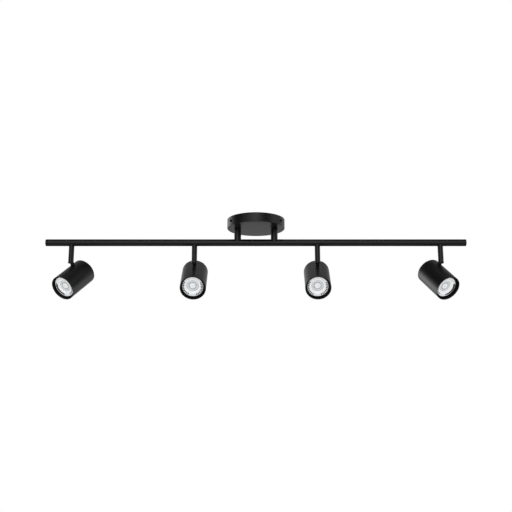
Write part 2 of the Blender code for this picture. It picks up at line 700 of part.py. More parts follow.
def make_retaining_ring(number, tilt):
    """The open wire ring that keeps the lamp from sliding out, with two ears to squeeze it by."""
    wire = RING_WIRE / 2
    outer = SHELL_BORE_RADIUS + RING_GROOVE_DEPTH - GAP
    middle = outer - wire
    half_gap = math.radians(RING_GAP_DEG / 2)
    height = lamp_front() + GAP + wire
    # The ring's gap is centred on the lower side of the head.
    route = []
    for step in range(RING_STEPS + 1):
        angle = -math.pi / 2 + half_gap + (math.tau - 2 * half_gap) * step / RING_STEPS
        route.append(Vector((middle * math.cos(angle), middle * math.sin(angle), height)))
    inward = (middle - RING_EAR_LENGTH) / middle
    ears = [Vector((end.x * inward, end.y * inward, height)) for end in (route[0], route[-1])]
    points = [ears[0]] + route + [ears[1]]
    curve = bpy.data.curves.new(f"retaining_ring_{number}", "CURVE")
    curve.dimensions = "3D"
    curve.bevel_depth = wire
    curve.bevel_resolution = 1
    curve.use_fill_caps = True
    spline = curve.splines.new("POLY")
    spline.points.add(len(points) - 1)
    for point, where in zip(spline.points, points):
        point.co = (where.x, where.y, where.z, 1.0)
    ring = bpy.data.objects.new(f"retaining_ring_{number}", curve)
    bpy.context.scene.collection.objects.link(ring)
    dress(on_head_axis(ring, tilt), "black_screw")


def make_heads():
    """Each head on its two axes: a swivel at the stem, and a tilt at the cross pin."""
    for number, (centre_x, turn) in enumerate(zip(head_positions(), REST_SWIVELS_DEG), 1):
        swivel = pivot(f"swivel_axis_{number}", None, (centre_x, 0, BAR_Z), (0, 0, turn))
        tilt = pivot(f"tilt_axis_{number}", swivel, (0, 0, PIVOT_Z - BAR_Z), (REST_TILT_DEG, 0, 0))
        make_stem_top(number, centre_x, swivel)
        make_stem(number, swivel)
        make_tongue(number, tilt)
        make_shell(number, tilt)
        make_rear_cap(number, tilt)
        make_lamp(number, tilt)
        make_lamp_holder(number, tilt)
        make_retaining_ring(number, tilt)


def main():
    clear_scene()
    make_mounting_plate()
    make_wiring_pieces()
    make_canopy()
    make_canopy_screws()
    make_posts()
    make_bar()
    make_heads()


main()
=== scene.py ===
"""Visual model of a ceiling rail light: a round canopy, two posts, a straight bar and four aimed heads.

Everything is in metres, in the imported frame: +X along the bar, heads aimed towards -Y, ceiling at Z = 0.
"""

import json
import logging
import math
from abc import ABC, abstractmethod
from collections.abc import Callable, Iterable, Sequence
from dataclasses import dataclass
from enum import Enum
from typing import Any

import bmesh
import bpy
from mathutils import Matrix, Vector


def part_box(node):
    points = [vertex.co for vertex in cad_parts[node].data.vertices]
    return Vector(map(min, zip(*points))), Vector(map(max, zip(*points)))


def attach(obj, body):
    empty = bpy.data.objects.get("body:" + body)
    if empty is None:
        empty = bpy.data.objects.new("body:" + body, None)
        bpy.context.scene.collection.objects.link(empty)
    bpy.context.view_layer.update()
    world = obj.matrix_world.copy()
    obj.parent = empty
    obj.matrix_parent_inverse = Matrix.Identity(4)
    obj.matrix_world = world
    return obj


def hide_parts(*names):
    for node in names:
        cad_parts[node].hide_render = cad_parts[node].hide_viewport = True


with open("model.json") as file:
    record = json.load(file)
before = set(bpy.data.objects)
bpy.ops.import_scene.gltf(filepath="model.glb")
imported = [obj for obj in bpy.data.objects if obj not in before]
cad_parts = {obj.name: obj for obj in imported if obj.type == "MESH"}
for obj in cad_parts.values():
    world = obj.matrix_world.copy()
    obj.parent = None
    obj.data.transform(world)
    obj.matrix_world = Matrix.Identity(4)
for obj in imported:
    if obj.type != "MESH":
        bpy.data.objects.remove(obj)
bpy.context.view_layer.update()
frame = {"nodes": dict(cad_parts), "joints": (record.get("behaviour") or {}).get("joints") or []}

MM = 0.001
MICRON = 0.000001
ON_AXIS = 0.01 * MM  # a point nearer to the axis than this lies on it
GAP = 0.3 * MM  # between pieces that touch, clamp or screw together
PAST = 1.0 * MM  # how far a cutting solid reaches past the face that it opens
SMOOTH_ANGLE = math.radians(32.0)
BLACK = (0.0, 0.0, 0.0)
ORIGIN = Matrix.Identity(4)
LENGTHWISE = Matrix.Rotation(math.radians(90.0), 4, "Y")
EXACT_QUARTER = Matrix(((0, 0, 1, 0), (0, 1, 0, 0), (-1, 0, 0, 0), (0, 0, 0, 1)))  # the same, unrounded
CROSSWISE = Matrix.Rotation(math.radians(90.0), 4, "X")
UPSIDE_DOWN = Matrix.Rotation(math.pi, 4, "X")

Colour = tuple[float, float, float]
Range = tuple[float, float]
Outline = list[tuple[float, float]]
Corner = tuple[float, float, float]

log = logging.getLogger("rail_light")


# Shader language


Binary = Callable[["Signal", "Signal | float"], "Signal"]


def both_ways(operation: str) -> tuple[Binary, Binary]:
    """Makes a binary operator and its reflected form, each of which adds a Math node.

    Args:
        operation: The node's operation.

    Returns:
        The operator, and the form for when a plain number comes first.
    """

    def plain(first: "Signal", second: "Signal | float") -> "Signal":
        """Adds the node with its inputs as they are written."""
        return first.math(operation, first, second)

    def reflected(second: "Signal", first: float) -> "Signal":
        """Adds the node with the plain number first."""
        return second.math(operation, first, second)

    return plain, reflected


class Signal:
    """One value in a node tree, on which Python's operators add Math nodes."""

    def __init__(self, graph: "Graph", socket: bpy.types.NodeSocket | None) -> None:
        """Wraps an output socket of a node in the graph."""
        self.graph = graph
        self.socket = socket

    def math(self, operation: str, *values: "Signal | float") -> "Signal":
        """Adds a Math node with these inputs."""
        return self.graph.node("ShaderNodeMath", {"operation": operation}, dict(enumerate(values)))

    __add__, __radd__ = both_ways("ADD")
    __sub__, __rsub__ = both_ways("SUBTRACT")
    __mul__, __rmul__ = both_ways("MULTIPLY")
    __pow__, __rpow__ = both_ways("POWER")

    def __abs__(self) -> "Signal":
        """Size without sign."""
        return self.math("ABSOLUTE", self)

    def sine(self) -> "Signal":
        """Sine, in radians."""
        return self.math("SINE", self)

    def at_least(self, floor: float) -> "Signal":
        """The larger of this value and a number."""
        return self.math("MAXIMUM", self, floor)

    def ramp(self, low: float, high: float) -> "Signal":
        """A soft step from 0 at the low value to 1 at the high one."""
        settings = {"interpolation_type": "SMOOTHSTEP", "clamp": True}
        return self.graph.node("ShaderNodeMapRange", settings, {0: self, 1: low, 2: high})


class Graph:
    """A node tree that is being written."""

    def __init__(self, tree: bpy.types.NodeTree) -> None:
        """Empties the tree, so that every node in it is one that is asked for here."""
        self.tree = tree
        tree.nodes.clear()

    def node(
        self,
        kind: str,
        settings: dict[str, Any] | None = None,
        values: dict[int | str, Any] | None = None,
        output: int | str = 0,
    ) -> Signal:
        """Adds a node.

        Args:
            kind: The node's type.
            settings: Its properties, such as its operation, which are set first.
            values: Its sockets by number or name, each a Signal to link or a constant.
            output: The output to return.

        Returns:
            That output.
        """
        made = self.tree.nodes.new(kind)
        for name, value in (settings or {}).items():
            setattr(made, name, value)
        for key, value in (values or {}).items():
            if isinstance(value, Signal):
                self.tree.links.new(value.socket, made.inputs[key])
            else:
                made.inputs[key].default_value = value
        return Signal(self, made.outputs[output] if made.outputs else None)

    def vector(self, operation: str, *values: Signal | Colour, output: str = "Vector") -> Signal:
        """Adds a Vector Math node with these inputs."""
        settings = {"operation": operation}
        return self.node("ShaderNodeVectorMath", settings, dict(enumerate(values)), output)

    def place(self) -> Signal:
        """The point's place in its own piece, in metres."""
        return self.node("ShaderNodeTexCoord", output="Object")

    def axis(self, vector: Signal, name: str) -> Signal:
        """One of a vector's parts, X, Y or Z."""
        return self.node("ShaderNodeSeparateXYZ", None, {0: vector}, name)

    def noise(self, size: float, detail: float = 3.0, stretch: Colour = (1.0, 1.0, 1.0)) -> Signal:
        """A cloudy pattern.

        Args:
            size: How large its patches are, in metres.
            detail: How many finer layers it has.
            stretch: How much finer it is along each axis.

        Returns:
            A value around 0.5.
        """
        scaled = self.vector("MULTIPLY", self.place(), stretch)
        values = {"Vector": scaled, "Scale": 1.0 / size, "Detail": detail}
        return self.node("ShaderNodeTexNoise", None, values)

    def cells(self, size: float, output: str) -> Signal:
        """One output of a pattern of cells of about this size, in metres."""
        return self.node("ShaderNodeTexVoronoi", None, {"Vector": self.place(), "Scale": 1.0 / size}, output)

    def blend(self, first: Signal | Colour, second: Signal | Colour, share: Signal | float) -> Signal:
        """Mixes two colours.

        Args:
            first: The colour where the share is 0.
            second: The colour where the share is 1.
            share: How much of the second colour shows.

        Returns:
            The mixed colour.
        """
        values = {0: share}
        for key, colour in ((6, first), (7, second)):
            values[key] = colour if isinstance(colour, Signal) else (*colour, 1.0)
        return self.node("ShaderNodeMix", {"data_type": "RGBA"}, values, 2)

    def bump(self, height: Signal, depth: float) -> Signal:
        """Turns a height from 0 to 1 into a normal, with its full depth in metres."""
        return self.node("ShaderNodeBump", None, {"Strength": 1.0, "Distance": depth, "Height": height})

    def surface(self, values: dict[str, Any]) -> None:
        """Ends the tree in a Principled shader with these sockets, linked or constant."""
        shader = self.node("ShaderNodeBsdfPrincipled", None, values)
        self.node("ShaderNodeOutputMaterial", None, {"Surface": shader})


# Finishes


@dataclass(frozen=True)
class Finish(ABC):
    """A finish that pieces share."""

    name: str
    slot: str

    @abstractmethod
    def paint(self, graph: Graph) -> None:
        """Writes the finish's nodes into an empty tree."""

    def material(self) -> bpy.types.Material:
        """The finish's material, made when it is first asked for."""
        found = bpy.data.materials.get(self.name)
        if found is None:
            found = bpy.data.materials.new(self.name)
            found.use_nodes = True
            self.paint(Graph(found.node_tree))
        return found


@dataclass(frozen=True)
class PowderCoat(Finish):
    """Satin black powder coat: a fine orange peel, cloudy gloss and a trace of settled dust."""

    colour: Colour = (0.0065, 0.0065, 0.0068)
    cloud_lift: float = 1.5
    cloud_size: float = 19 * MM
    cloud_range: Range = (0.3, 0.7)
    roughness: float = 0.32
    gloss_swing: float = 0.08
    refraction: float = 1.47
    dusty: Colour = (0.030, 0.029, 0.027)
    dust: float = 0.35
    dust_film: float = 0.35
    dust_slopes: Range = (0.35, 0.95)
    dust_dulls: float = 0.25
    mote_size: float = 0.8 * MM
    mote_range: Range = (0.46, 0.66)
    peel_size: float = 1.1 * MM
    peel_depth: float = 9 * MICRON
    grain_size: float = 0.22 * MM
    grain_share: float = 0.25

    def paint(self, graph: Graph) -> None:
        """Writes the coat: dust on what faces up, gloss by cloud, and peel with grain in the normal."""
        normal = graph.node("ShaderNodeNewGeometry", output="Normal")
        lies_up = graph.axis(normal, "Z").ramp(*self.dust_slopes)
        motes = graph.noise(self.mote_size, 5.0).ramp(*self.mote_range)
        cloud = graph.noise(self.cloud_size, 4.0)
        settled = lies_up * (self.dust_film + motes * (1 - self.dust_film)) * self.dust
        lifted = tuple(self.cloud_lift * part for part in self.colour)
        tone = graph.blend(self.colour, lifted, cloud.ramp(*self.cloud_range))
        grain = graph.noise(self.grain_size, 1.0) * self.grain_share
        peel = graph.noise(self.peel_size, 1.5) * (1 - self.grain_share) + grain
        graph.surface({
            "Base Color": graph.blend(tone, self.dusty, settled),
            "Roughness": (cloud - 0.5) * self.gloss_swing + settled * self.dust_dulls + self.roughness,
            "IOR": self.refraction,
            "Normal": graph.bump(peel, self.peel_depth),
        })


@dataclass(frozen=True)
class TurnedMetal(Finish):
    """Bare or plated metal with the fine rings of a lathe about its own Z axis."""

    colour: Colour = (0.62, 0.62, 0.60)
    stain: Colour = (0.42, 0.41, 0.38)
    roughness: float = 0.30
    metallic: float = 1.0
    ring_size: float = 0.18 * MM
    ring_depth: float = 4 * MICRON
    ring_swing: float = 0.12
    stain_size: float = 2.6 * MM
    stain_range: Range = (0.48, 0.72)
    stain_dulls: float = 0.16

    def paint(self, graph: Graph) -> None:
        """Writes turning rings, cloudy stain and a gloss that follows both."""
        place = graph.place()
        across = graph.vector("LENGTH", place, output="Value")
        ring_place = graph.node("ShaderNodeCombineXYZ", None, {0: across, 1: graph.axis(place, "Z")})
        rings = graph.node("ShaderNodeTexNoise", None, {"Vector": ring_place, "Scale": 1 / self.ring_size})
        stain = graph.noise(self.stain_size, 5.0).ramp(*self.stain_range)
        graph.surface({
            "Base Color": graph.blend(self.colour, self.stain, stain),
            "Roughness": self.roughness + stain * self.stain_dulls + (rings - 0.5) * self.ring_swing,
            "Metallic": self.metallic,
            "Normal": graph.bump(rings, self.ring_depth),
        })


@dataclass(frozen=True)
class ZincPlate(Finish):
    """Rolled and zinc-plated sheet steel: spangle, rolling lines and dull patches."""

    bright: Colour = (0.60, 0.61, 0.62)
    dull: Colour = (0.36, 0.37, 0.38)
    roughness: float = 0.34
    spangle_size: float = 5.5 * MM
    spangle_share: float = 0.55
    spangle_dulls: float = 0.14
    patch_size: float = 12 * MM
    patch_range: Range = (0.42, 0.68)
    patch_share: float = 0.35
    patch_dulls: float = 0.10
    line_size: float = 0.35 * MM
    line_stretch: Colour = (0.02, 1.0, 1.0)
    line_depth: float = 5 * MICRON

    def paint(self, graph: Graph) -> None:
        """Writes the spangle into colour and gloss, and the rolling lines into the normal."""
        spangle = graph.axis(graph.cells(self.spangle_size, "Color"), "X")
        lines = graph.noise(self.line_size, 2.0, self.line_stretch)
        patches = graph.noise(self.patch_size, 4.0).ramp(*self.patch_range)
        dullness = spangle * self.spangle_share + patches * self.patch_share
        graph.surface({
            "Base Color": graph.blend(self.bright, self.dull, dullness),
            "Roughness": self.roughness + spangle * self.spangle_dulls + patches * self.patch_dulls,
            "Metallic": 1.0,
            "Normal": graph.bump(lines, self.line_depth),
        })


@dataclass(frozen=True)
class Moulding(Finish):
    """Moulded plastic: a spark-eroded texture and faint flow clouds."""

    colour: Colour = (0.80, 0.80, 0.78)
    shade: Colour = (0.74, 0.74, 0.72)
    roughness: float = 0.42
    flow_size: float = 7 * MM
    flow_range: Range = (0.35, 0.70)
    grain_size: float = 0.16 * MM
    grain_swing: float = 0.20
    grain_depth: float = 7 * MICRON

    def paint(self, graph: Graph) -> None:
        """Writes flow clouds into the colour and the eroded texture into gloss and normal."""
        flow = graph.noise(self.flow_size).ramp(*self.flow_range)
        grain = graph.noise(self.grain_size)
        graph.surface({
            "Base Color": graph.blend(self.colour, self.shade, flow),
            "Roughness": self.roughness + (grain - 0.5) * self.grain_swing,
            "Normal": graph.bump(grain, self.grain_depth),
        })


@dataclass(frozen=True)
class Ceramic(Finish):
    """Unglazed cream ceramic: open pores, specks and a chalky surface."""

    colour: Colour = (0.80, 0.77, 0.70)
    speck: Colour = (0.46, 0.40, 0.32)
    roughness: float = 0.62
    speck_size: float = 0.4 * MM
    speck_range: Range = (0.66, 0.72)
    speck_share: float = 0.5
    speck_dulls: float = 0.1
    pore_size: float = 0.5 * MM
    pore_range: Range = (0.0, 0.3)
    pore_depth: float = 14 * MICRON

    def paint(self, graph: Graph) -> None:
        """Writes specks into the colour and pores into the normal."""
        pores = graph.cells(self.pore_size, "Distance").ramp(*self.pore_range)
        specks = graph.noise(self.speck_size, 2.0).ramp(*self.speck_range)
        graph.surface({
            "Base Color": graph.blend(self.colour, self.speck, specks * self.speck_share),
            "Roughness": self.roughness + specks * self.speck_dulls,
            "Normal": graph.bump(pores, self.pore_depth),
        })


@dataclass(frozen=True)
class LampFace(Finish):
    """The lit front of a lamp, with painted shade: its colour and glow darken the deeper it lies behind its
    own zero height, and its glow darkens towards both sides.
    """

    colour: Colour = (0.86, 0.87, 0.88)
    # Painted shade: below the front, the colour darkens to the hollow colour and the glow to a small share
    # of itself, over this range of depths.
    hollow: Colour = (0.55, 0.56, 0.58)
    painted_shade_depths: Range = (-5.6 * MM, -4.0 * MM)
    glow: float = 0.54
    painted_recess_shade: float = 0.22
    # Painted shade: the glow darkens towards both sides, over this range of distances along X.
    sides: Range = (15.5 * MM, 23.5 * MM)
    painted_side_shade: float = 0.80
    roughness: float = 0.20
    coat: float = 0.4
    coat_roughness: float = 0.06
    ring_size: float = 0.85 * MM
    ring_share: float = 0.45
    ring_depth: float = 6 * MICRON
    stipple_size: float = 0.30 * MM
    stipple_share: float = 0.1

    def paint(self, graph: Graph) -> None:
        """Writes moulded rings about the lamp's axis, and painted shade: colour and glow that darken with
        depth, and glow that darkens towards the sides.
        """
        place = graph.place()
        flat = graph.vector("MULTIPLY", place, (1.0, 1.0, 0.0))
        radius = graph.vector("LENGTH", flat, output="Value")
        rings = (radius * (math.tau / self.ring_size)).sine()
        stipple = graph.noise(self.stipple_size, 1.0) * self.stipple_share
        # Painted shade mask: 0 in the recesses, 1 at the front.
        height = graph.axis(place, "Z").ramp(*self.painted_shade_depths)
        # Painted side shade: the glow darkens towards both sides.
        spread = 1 - abs(graph.axis(place, "X")).ramp(*self.sides) * self.painted_side_shade
        painted_recess_glow = tuple(self.painted_recess_shade * part for part in self.colour)
        graph.surface({
            "Base Color": graph.blend(self.hollow, self.colour, height),
            "Roughness": self.roughness + stipple,
            "Coat Weight": self.coat,
            "Coat Roughness": self.coat_roughness,
            "Emission Color": graph.blend(BLACK, graph.blend(painted_recess_glow, self.colour, height), spread),
            "Emission Strength": self.glow,
            "Normal": graph.bump(rings * self.ring_share + stipple, self.ring_depth),
        })


COAT = PowderCoat("satin_black_coat", "black_coat")
BLACK_STEEL = TurnedMetal(
    "blackened_steel", "black_screw", (0.020, 0.020, 0.022), (0.045, 0.040, 0.036), 0.34, 0.85
)
STEEL = TurnedMetal("turned_steel", "zinc_steel")
GROUND = TurnedMetal("green_ground_screw", "ground_brass", (0.05, 0.34, 0.09), (0.30, 0.26, 0.10), 0.33, 0.8)
PLATE = ZincPlate("zinc_sheet", "zinc_steel")
TERMINAL = Moulding("terminal_nylon", "terminal_plastic")
LAMP_SHELL = Moulding("lamp_moulding", "lamp_white", (0.82, 0.82, 0.81), (0.78, 0.78, 0.77), 0.38)
# Black for the spring clip; on the heat sink and the rim trim the black is painted shade, darkening the
# slots and the shadow gap at the lamp's rim.
BLACK_CLIP_AND_PAINTED_SHADE = Moulding("lamp_black_and_painted_shade", "lamp_white", (0.012, 0.012, 0.013), (0.02, 0.02, 0.02), 0.55)
# The bezel's colour and glow turn black below its front edge, painted shade on the slot walls, and its glow
# darkens towards the sides as painted shade.
BEZEL = LampFace(
    "lit_bezel", "lamp_white", hollow=(0.03, 0.03, 0.03), painted_shade_depths=(-1.2 * MM, -0.5 * MM),
    glow=0.48, painted_recess_shade=0.0, painted_side_shade=0.6, roughness=0.34, coat=0.0,
)
OPTIC = LampFace("lit_optic", "lamp_optic")
CERAMIC = Ceramic("holder_ceramic", "ceramic")


# Mesh tools


class Carve(Enum):
    """What one solid does to another."""

    REMOVE = "DIFFERENCE"
    JOIN = "UNION"


class Drive(Enum):
    """The recess in a screw's head: how many bars it has and how far each reaches, as a share."""

    CROSS = (2, 0.62)
    SLOT = (1, 1.2)


def soften_shading(item: bpy.types.Object) -> None:
    """Shades an object smooth, apart from its sharp edges."""
    item.data.shade_smooth()
    item.data.set_sharp_from_angle(angle=SMOOTH_ANGLE)


def object_from(bm: bmesh.types.BMesh, name: str, place: Matrix) -> bpy.types.Object:
    """Turns a bmesh into an object in the scene.

    Args:
        bm: The mesh under construction, which is freed.
        name: The object's name.
        place: Its local frame.

    Returns:
        The object, shaded smooth between its sharp edges.
    """
    bmesh.ops.recalc_face_normals(bm, faces=bm.faces)
    mesh = bpy.data.meshes.new(name)
    bm.to_mesh(mesh)
    bm.free()
    item = bpy.data.objects.new(name, mesh)
    bpy.context.scene.collection.objects.link(item)
    item.matrix_world = place
    soften_shading(item)
    return item


def rounded(corners: Sequence[Corner], steps: int = 5) -> Outline:
    """Rounds the corners of a closed outline.

    Args:
        corners: Points with the radius wanted at each: (across, along, radius).
        steps: How many pieces each round has.

    Returns:
        The outline with its rounds, none of them longer than the sides beside it allow.
    """
    most = 0.48
    found: Outline = []
    for number, (across, along, radius) in enumerate(corners):
        if radius <= 0.0:
            found.append((across, along))
            continue
        here = Vector((across, along))
        before = Vector(corners[number - 1][:2]) - here
        after = Vector(corners[(number + 1) % len(corners)][:2]) - here
        reach = min(radius / math.tan(before.angle(after) / 2), before.length * most, after.length * most)
        start = here + before.normalized() * reach
        end = here + after.normalized() * reach
        for step in range(steps + 1):
            share = step / steps
            point = start * (1 - share) ** 2 + here * (2 * share * (1 - share)) + end * share**2
            found.append((point.x, point.y))
    return found


def evenly(corners: Iterable[tuple[float, float]], radius: float) -> list[Corner]:
    """Gives every corner off the axis the same radius."""
    return [(across, along, radius if across > ON_AXIS else 0.0) for across, along in corners]


def arc(centre: tuple[float, float], radius: float, start: float, end: float, steps: int) -> Outline:
    """Points along an arc.

    Args:
        centre: Its centre.
        radius: Its radius.
        start: Its first angle, in degrees.
        end: Its last angle.
        steps: How many pieces it has.

    Returns:
        The points, both ends included.
    """
    angles = [math.radians(start + (end - start) * step / steps) for step in range(steps + 1)]
    return [(centre[0] + radius * math.cos(a), centre[1] + radius * math.sin(a)) for a in angles]


def turned(name: str, outline: Outline, sides: int, place: Matrix = ORIGIN) -> bpy.types.Object:
    """A solid turned about Z.

    Args:
        name: The object's name.
        outline: A loop of (radius, height) points.
        sides: How many facets go round it.
        place: The local frame.

    Returns:
        The object.
    """
    bm = bmesh.new()
    angles = [math.tau * side / sides for side in range(sides)]
    rings = []
    for radius, height in outline:
        around = [(0.0, 0.0)]
        if radius >= ON_AXIS:
            around = [(radius * math.cos(a), radius * math.sin(a)) for a in angles]
        rings.append([bm.verts.new((x, y, height)) for x, y in around])
    for first, second in zip(rings, rings[1:] + rings[:1]):
        for side in range(sides):
            corners = [first[side % len(first)], first[(side + 1) % len(first)]]
            corners += [second[(side + 1) % len(second)], second[side % len(second)]]
            corners = list(dict.fromkeys(corners))
            if len(corners) > 2:
                bm.faces.new(corners)
    return object_from(bm, name, place)


def rod(
    name: str, radius: float, low: float, high: float, place: Matrix = ORIGIN, sides: int = 48
) -> bpy.types.Object:
    """A round bar along Z, for cutting and joining."""
    return turned(name, [(0.0, low), (radius, low), (radius, high), (0.0, high)], sides, place)


def sleeve(
    name: str, radii: Range, span: Range, soft: float, place: Matrix, sides: int = 96
) -> bpy.types.Object:
    """A tube about Z with rounded edges.

    Args:
        name: The object's name.
        radii: Its inner and its outer radius.
        span: Where it starts and ends along Z.
        soft: The radius of its edges.
        place: The local frame.
        sides: How many facets go round it.

    Returns:
        The object.
    """
    (inner, outer), (low, high) = radii, span
    corners = [(inner, low), (outer, low), (outer, high), (inner, high)]
    return turned(name, rounded(evenly(corners, soft)), sides, place)


def raise_loop(bm: bmesh.types.BMesh, outline: Outline, low: float, high: float) -> None:
    """Adds a prism to a mesh.

    Args:
        bm: The mesh under construction.
        outline: A loop of (x, y) points.
        low: Where the prism starts along Z.
        high: Where it ends.
    """
    face = bm.faces.new([bm.verts.new((x, y, low)) for x, y in outline])
    grown = bmesh.ops.extrude_face_region(bm, geom=[face])
    risen = [part for part in grown["geom"] if isinstance(part, bmesh.types.BMVert)]
    bmesh.ops.translate(bm, verts=risen, vec=(0.0, 0.0, high - low))


def extruded(
    name: str, outline: Outline, low: float, high: float, place: Matrix = ORIGIN
) -> bpy.types.Object:
    """A prism.

    Args:
        name: The object's name.
        outline: A loop of (x, y) points.
        low: Where it starts along Z.
        high: Where it ends.
        place: The local frame.

    Returns:
        The object.
    """
    bm = bmesh.new()
    raise_loop(bm, outline, low, high)
    return object_from(bm, name, place)


def block(
    name: str, low: Sequence[float], high: Sequence[float], place: Matrix = ORIGIN
) -> bpy.types.Object:
    """A box between two corners, for cutting and joining."""
    outline = [(low[0], low[1]), (high[0], low[1]), (high[0], high[1]), (low[0], high[1])]
    return extruded(name, outline, low[2], high[2], place)


def settle(item: bpy.types.Object) -> None:
    """Makes what an object's modifiers do to it permanent."""
    graph = bpy.context.evaluated_depsgraph_get()
    mesh = bpy.data.meshes.new_from_object(item.evaluated_get(graph))
    item.modifiers.clear()
    item.data = mesh
    soften_shading(item)


def carve(item: bpy.types.Object, tools: Sequence[bpy.types.Object], how: Carve = Carve.REMOVE) -> None:
    """Cuts solids from an object, or joins them to it, and removes them.

    Args:
        item: The object that changes.
        tools: The solids, which overlap it.
        how: Whether they are removed or joined.
    """
    for tool in tools:
        modifier = item.modifiers.new(tool.name, "BOOLEAN")
        modifier.operation = how.value
        modifier.solver = "EXACT"
        modifier.object = tool
    settle(item)
    for tool in tools:
        bpy.data.objects.remove(tool, do_unlink=True)


def break_edges(item: bpy.types.Object, width: float) -> None:
    """Rounds an object's sharp edges slightly, as deburring does.

    Args:
        item: The object.
        width: How wide the rounds are.
    """
    modifier = item.modifiers.new("edges", "BEVEL")
    modifier.width = width
    modifier.segments = 2
    modifier.limit_method = "ANGLE"
    modifier.angle_limit = SMOOTH_ANGLE
    settle(item)


def install(item: bpy.types.Object, body: str, finish: Finish, *stands_for: str) -> None:
    """Dresses a finished piece and hands it to the frame.

    Args:
        item: The piece.
        body: The body that it moves with.
        finish: Its finish.
        stands_for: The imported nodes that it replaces.
    """
    item.data.materials.append(finish.material())
    if item.type == "MESH":
        item.modifiers.new("normals", "WEIGHTED_NORMAL").keep_sharp = True
    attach(item, body)
    if stands_for:
        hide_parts(*stands_for)
    log.info("%s rides on %s in %s", item.name, body, finish.name)


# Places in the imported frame


def upright(x: float, y: float = 0.0, z: float = 0.0) -> Matrix:
    """A frame that stands upright at a point."""
    return Matrix.Translation((x, y, z))


def joint_called(name: str) -> dict[str, Any]:
    """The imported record's joint of that name."""
    return next(joint for joint in frame["joints"] if joint["name"] == name)


def centre_of(node: str) -> Vector:
    """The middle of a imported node's points."""
    points = [vertex.co for vertex in frame["nodes"][node].data.vertices]
    return sum(points, Vector()) / len(points)


class Room:
    """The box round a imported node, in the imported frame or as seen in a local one."""

    def __init__(self, node: str, place: Matrix = ORIGIN) -> None:
        """Measures the node's points in the local frame."""
        self.low, self.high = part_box(node)
        if place is not ORIGIN:
            inverse = place.inverted()
            points = [inverse @ vertex.co for vertex in frame["nodes"][node].data.vertices]
            self.low = Vector([min(point[axis] for point in points) for axis in range(3)])
            self.high = Vector([max(point[axis] for point in points) for axis in range(3)])
        self.middle = (self.low + self.high) / 2
        self.size = self.high - self.low
        self.radius = (self.high.x - self.low.x) / 2


# Fasteners


@dataclass(frozen=True)
class Thread:
    """A screw thread, drawn as the rings that it shows from the side."""

    pitch: float = 0.7 * MM
    depth: float = 0.32 * MM

    def along(self, radius: float, low: float, high: float) -> Outline:
        """The thread's outer outline.

        Args:
            radius: The crests' radius.
            low: Where it starts.
            high: Where it ends, which may lie below the start.

        Returns:
            Points from the start to the end.
        """
        turns = max(2, round(abs(high - low) / self.pitch))
        ridge = ((0.15, 1.0), (0.40, 0.0), (0.60, 0.0), (0.85, 1.0))
        return [
            (radius - inset * self.depth, low + (high - low) * (turn + share) / turns)
            for turn in range(turns) for share, inset in ridge
        ]


@dataclass(frozen=True)
class Screw:
    """A pan-head screw whose head stands along +Z from its seat at zero."""

    shank_radius: float
    head_radius: float
    head_height: float
    length: float
    drive: Drive
    thread: Thread = Thread()
    edge_share: float = 0.35
    point_share: float = 0.6
    neck_share: float = 0.9
    recess_half_share: float = 0.13
    recess_floor_share: float = 0.45

    def make(self, name: str, place: Matrix) -> bpy.types.Object:
        """Builds the screw.

        Args:
            name: Its name.
            place: The frame of its seat.

        Returns:
            The screw, with its recess cut.
        """
        shank, top, pitch = self.shank_radius, self.head_height, self.thread.pitch
        dome_share = 1 - self.edge_share
        outline = [(0.0, -self.length), (shank * self.point_share, -self.length)]
        outline += self.thread.along(shank, -self.length + pitch, -pitch)
        outline += [(shank * self.neck_share, 0.0), (self.head_radius, 0.0)]
        for x, y in arc((0.0, 0.0), 1.0, 0.0, 90.0, 8)[:-1]:
            outline.append((self.head_radius * x, top * (self.edge_share + dome_share * y)))
        screw = turned(name, [*outline, (0.0, top)], 48, place)
        bars, reach_share = self.drive.value
        reach, half = self.head_radius * reach_share, self.head_radius * self.recess_half_share
        low, high = (-reach, -half, top * self.recess_floor_share), (reach, half, 2 * top)
        for bar in range(bars):
            turn = place @ Matrix.Rotation(math.radians(90.0 * bar), 4, "Z")
            carve(screw, [block(f"{name}_recess_{bar}", low, high, turn)])
        return screw


# The canopy and what it hides


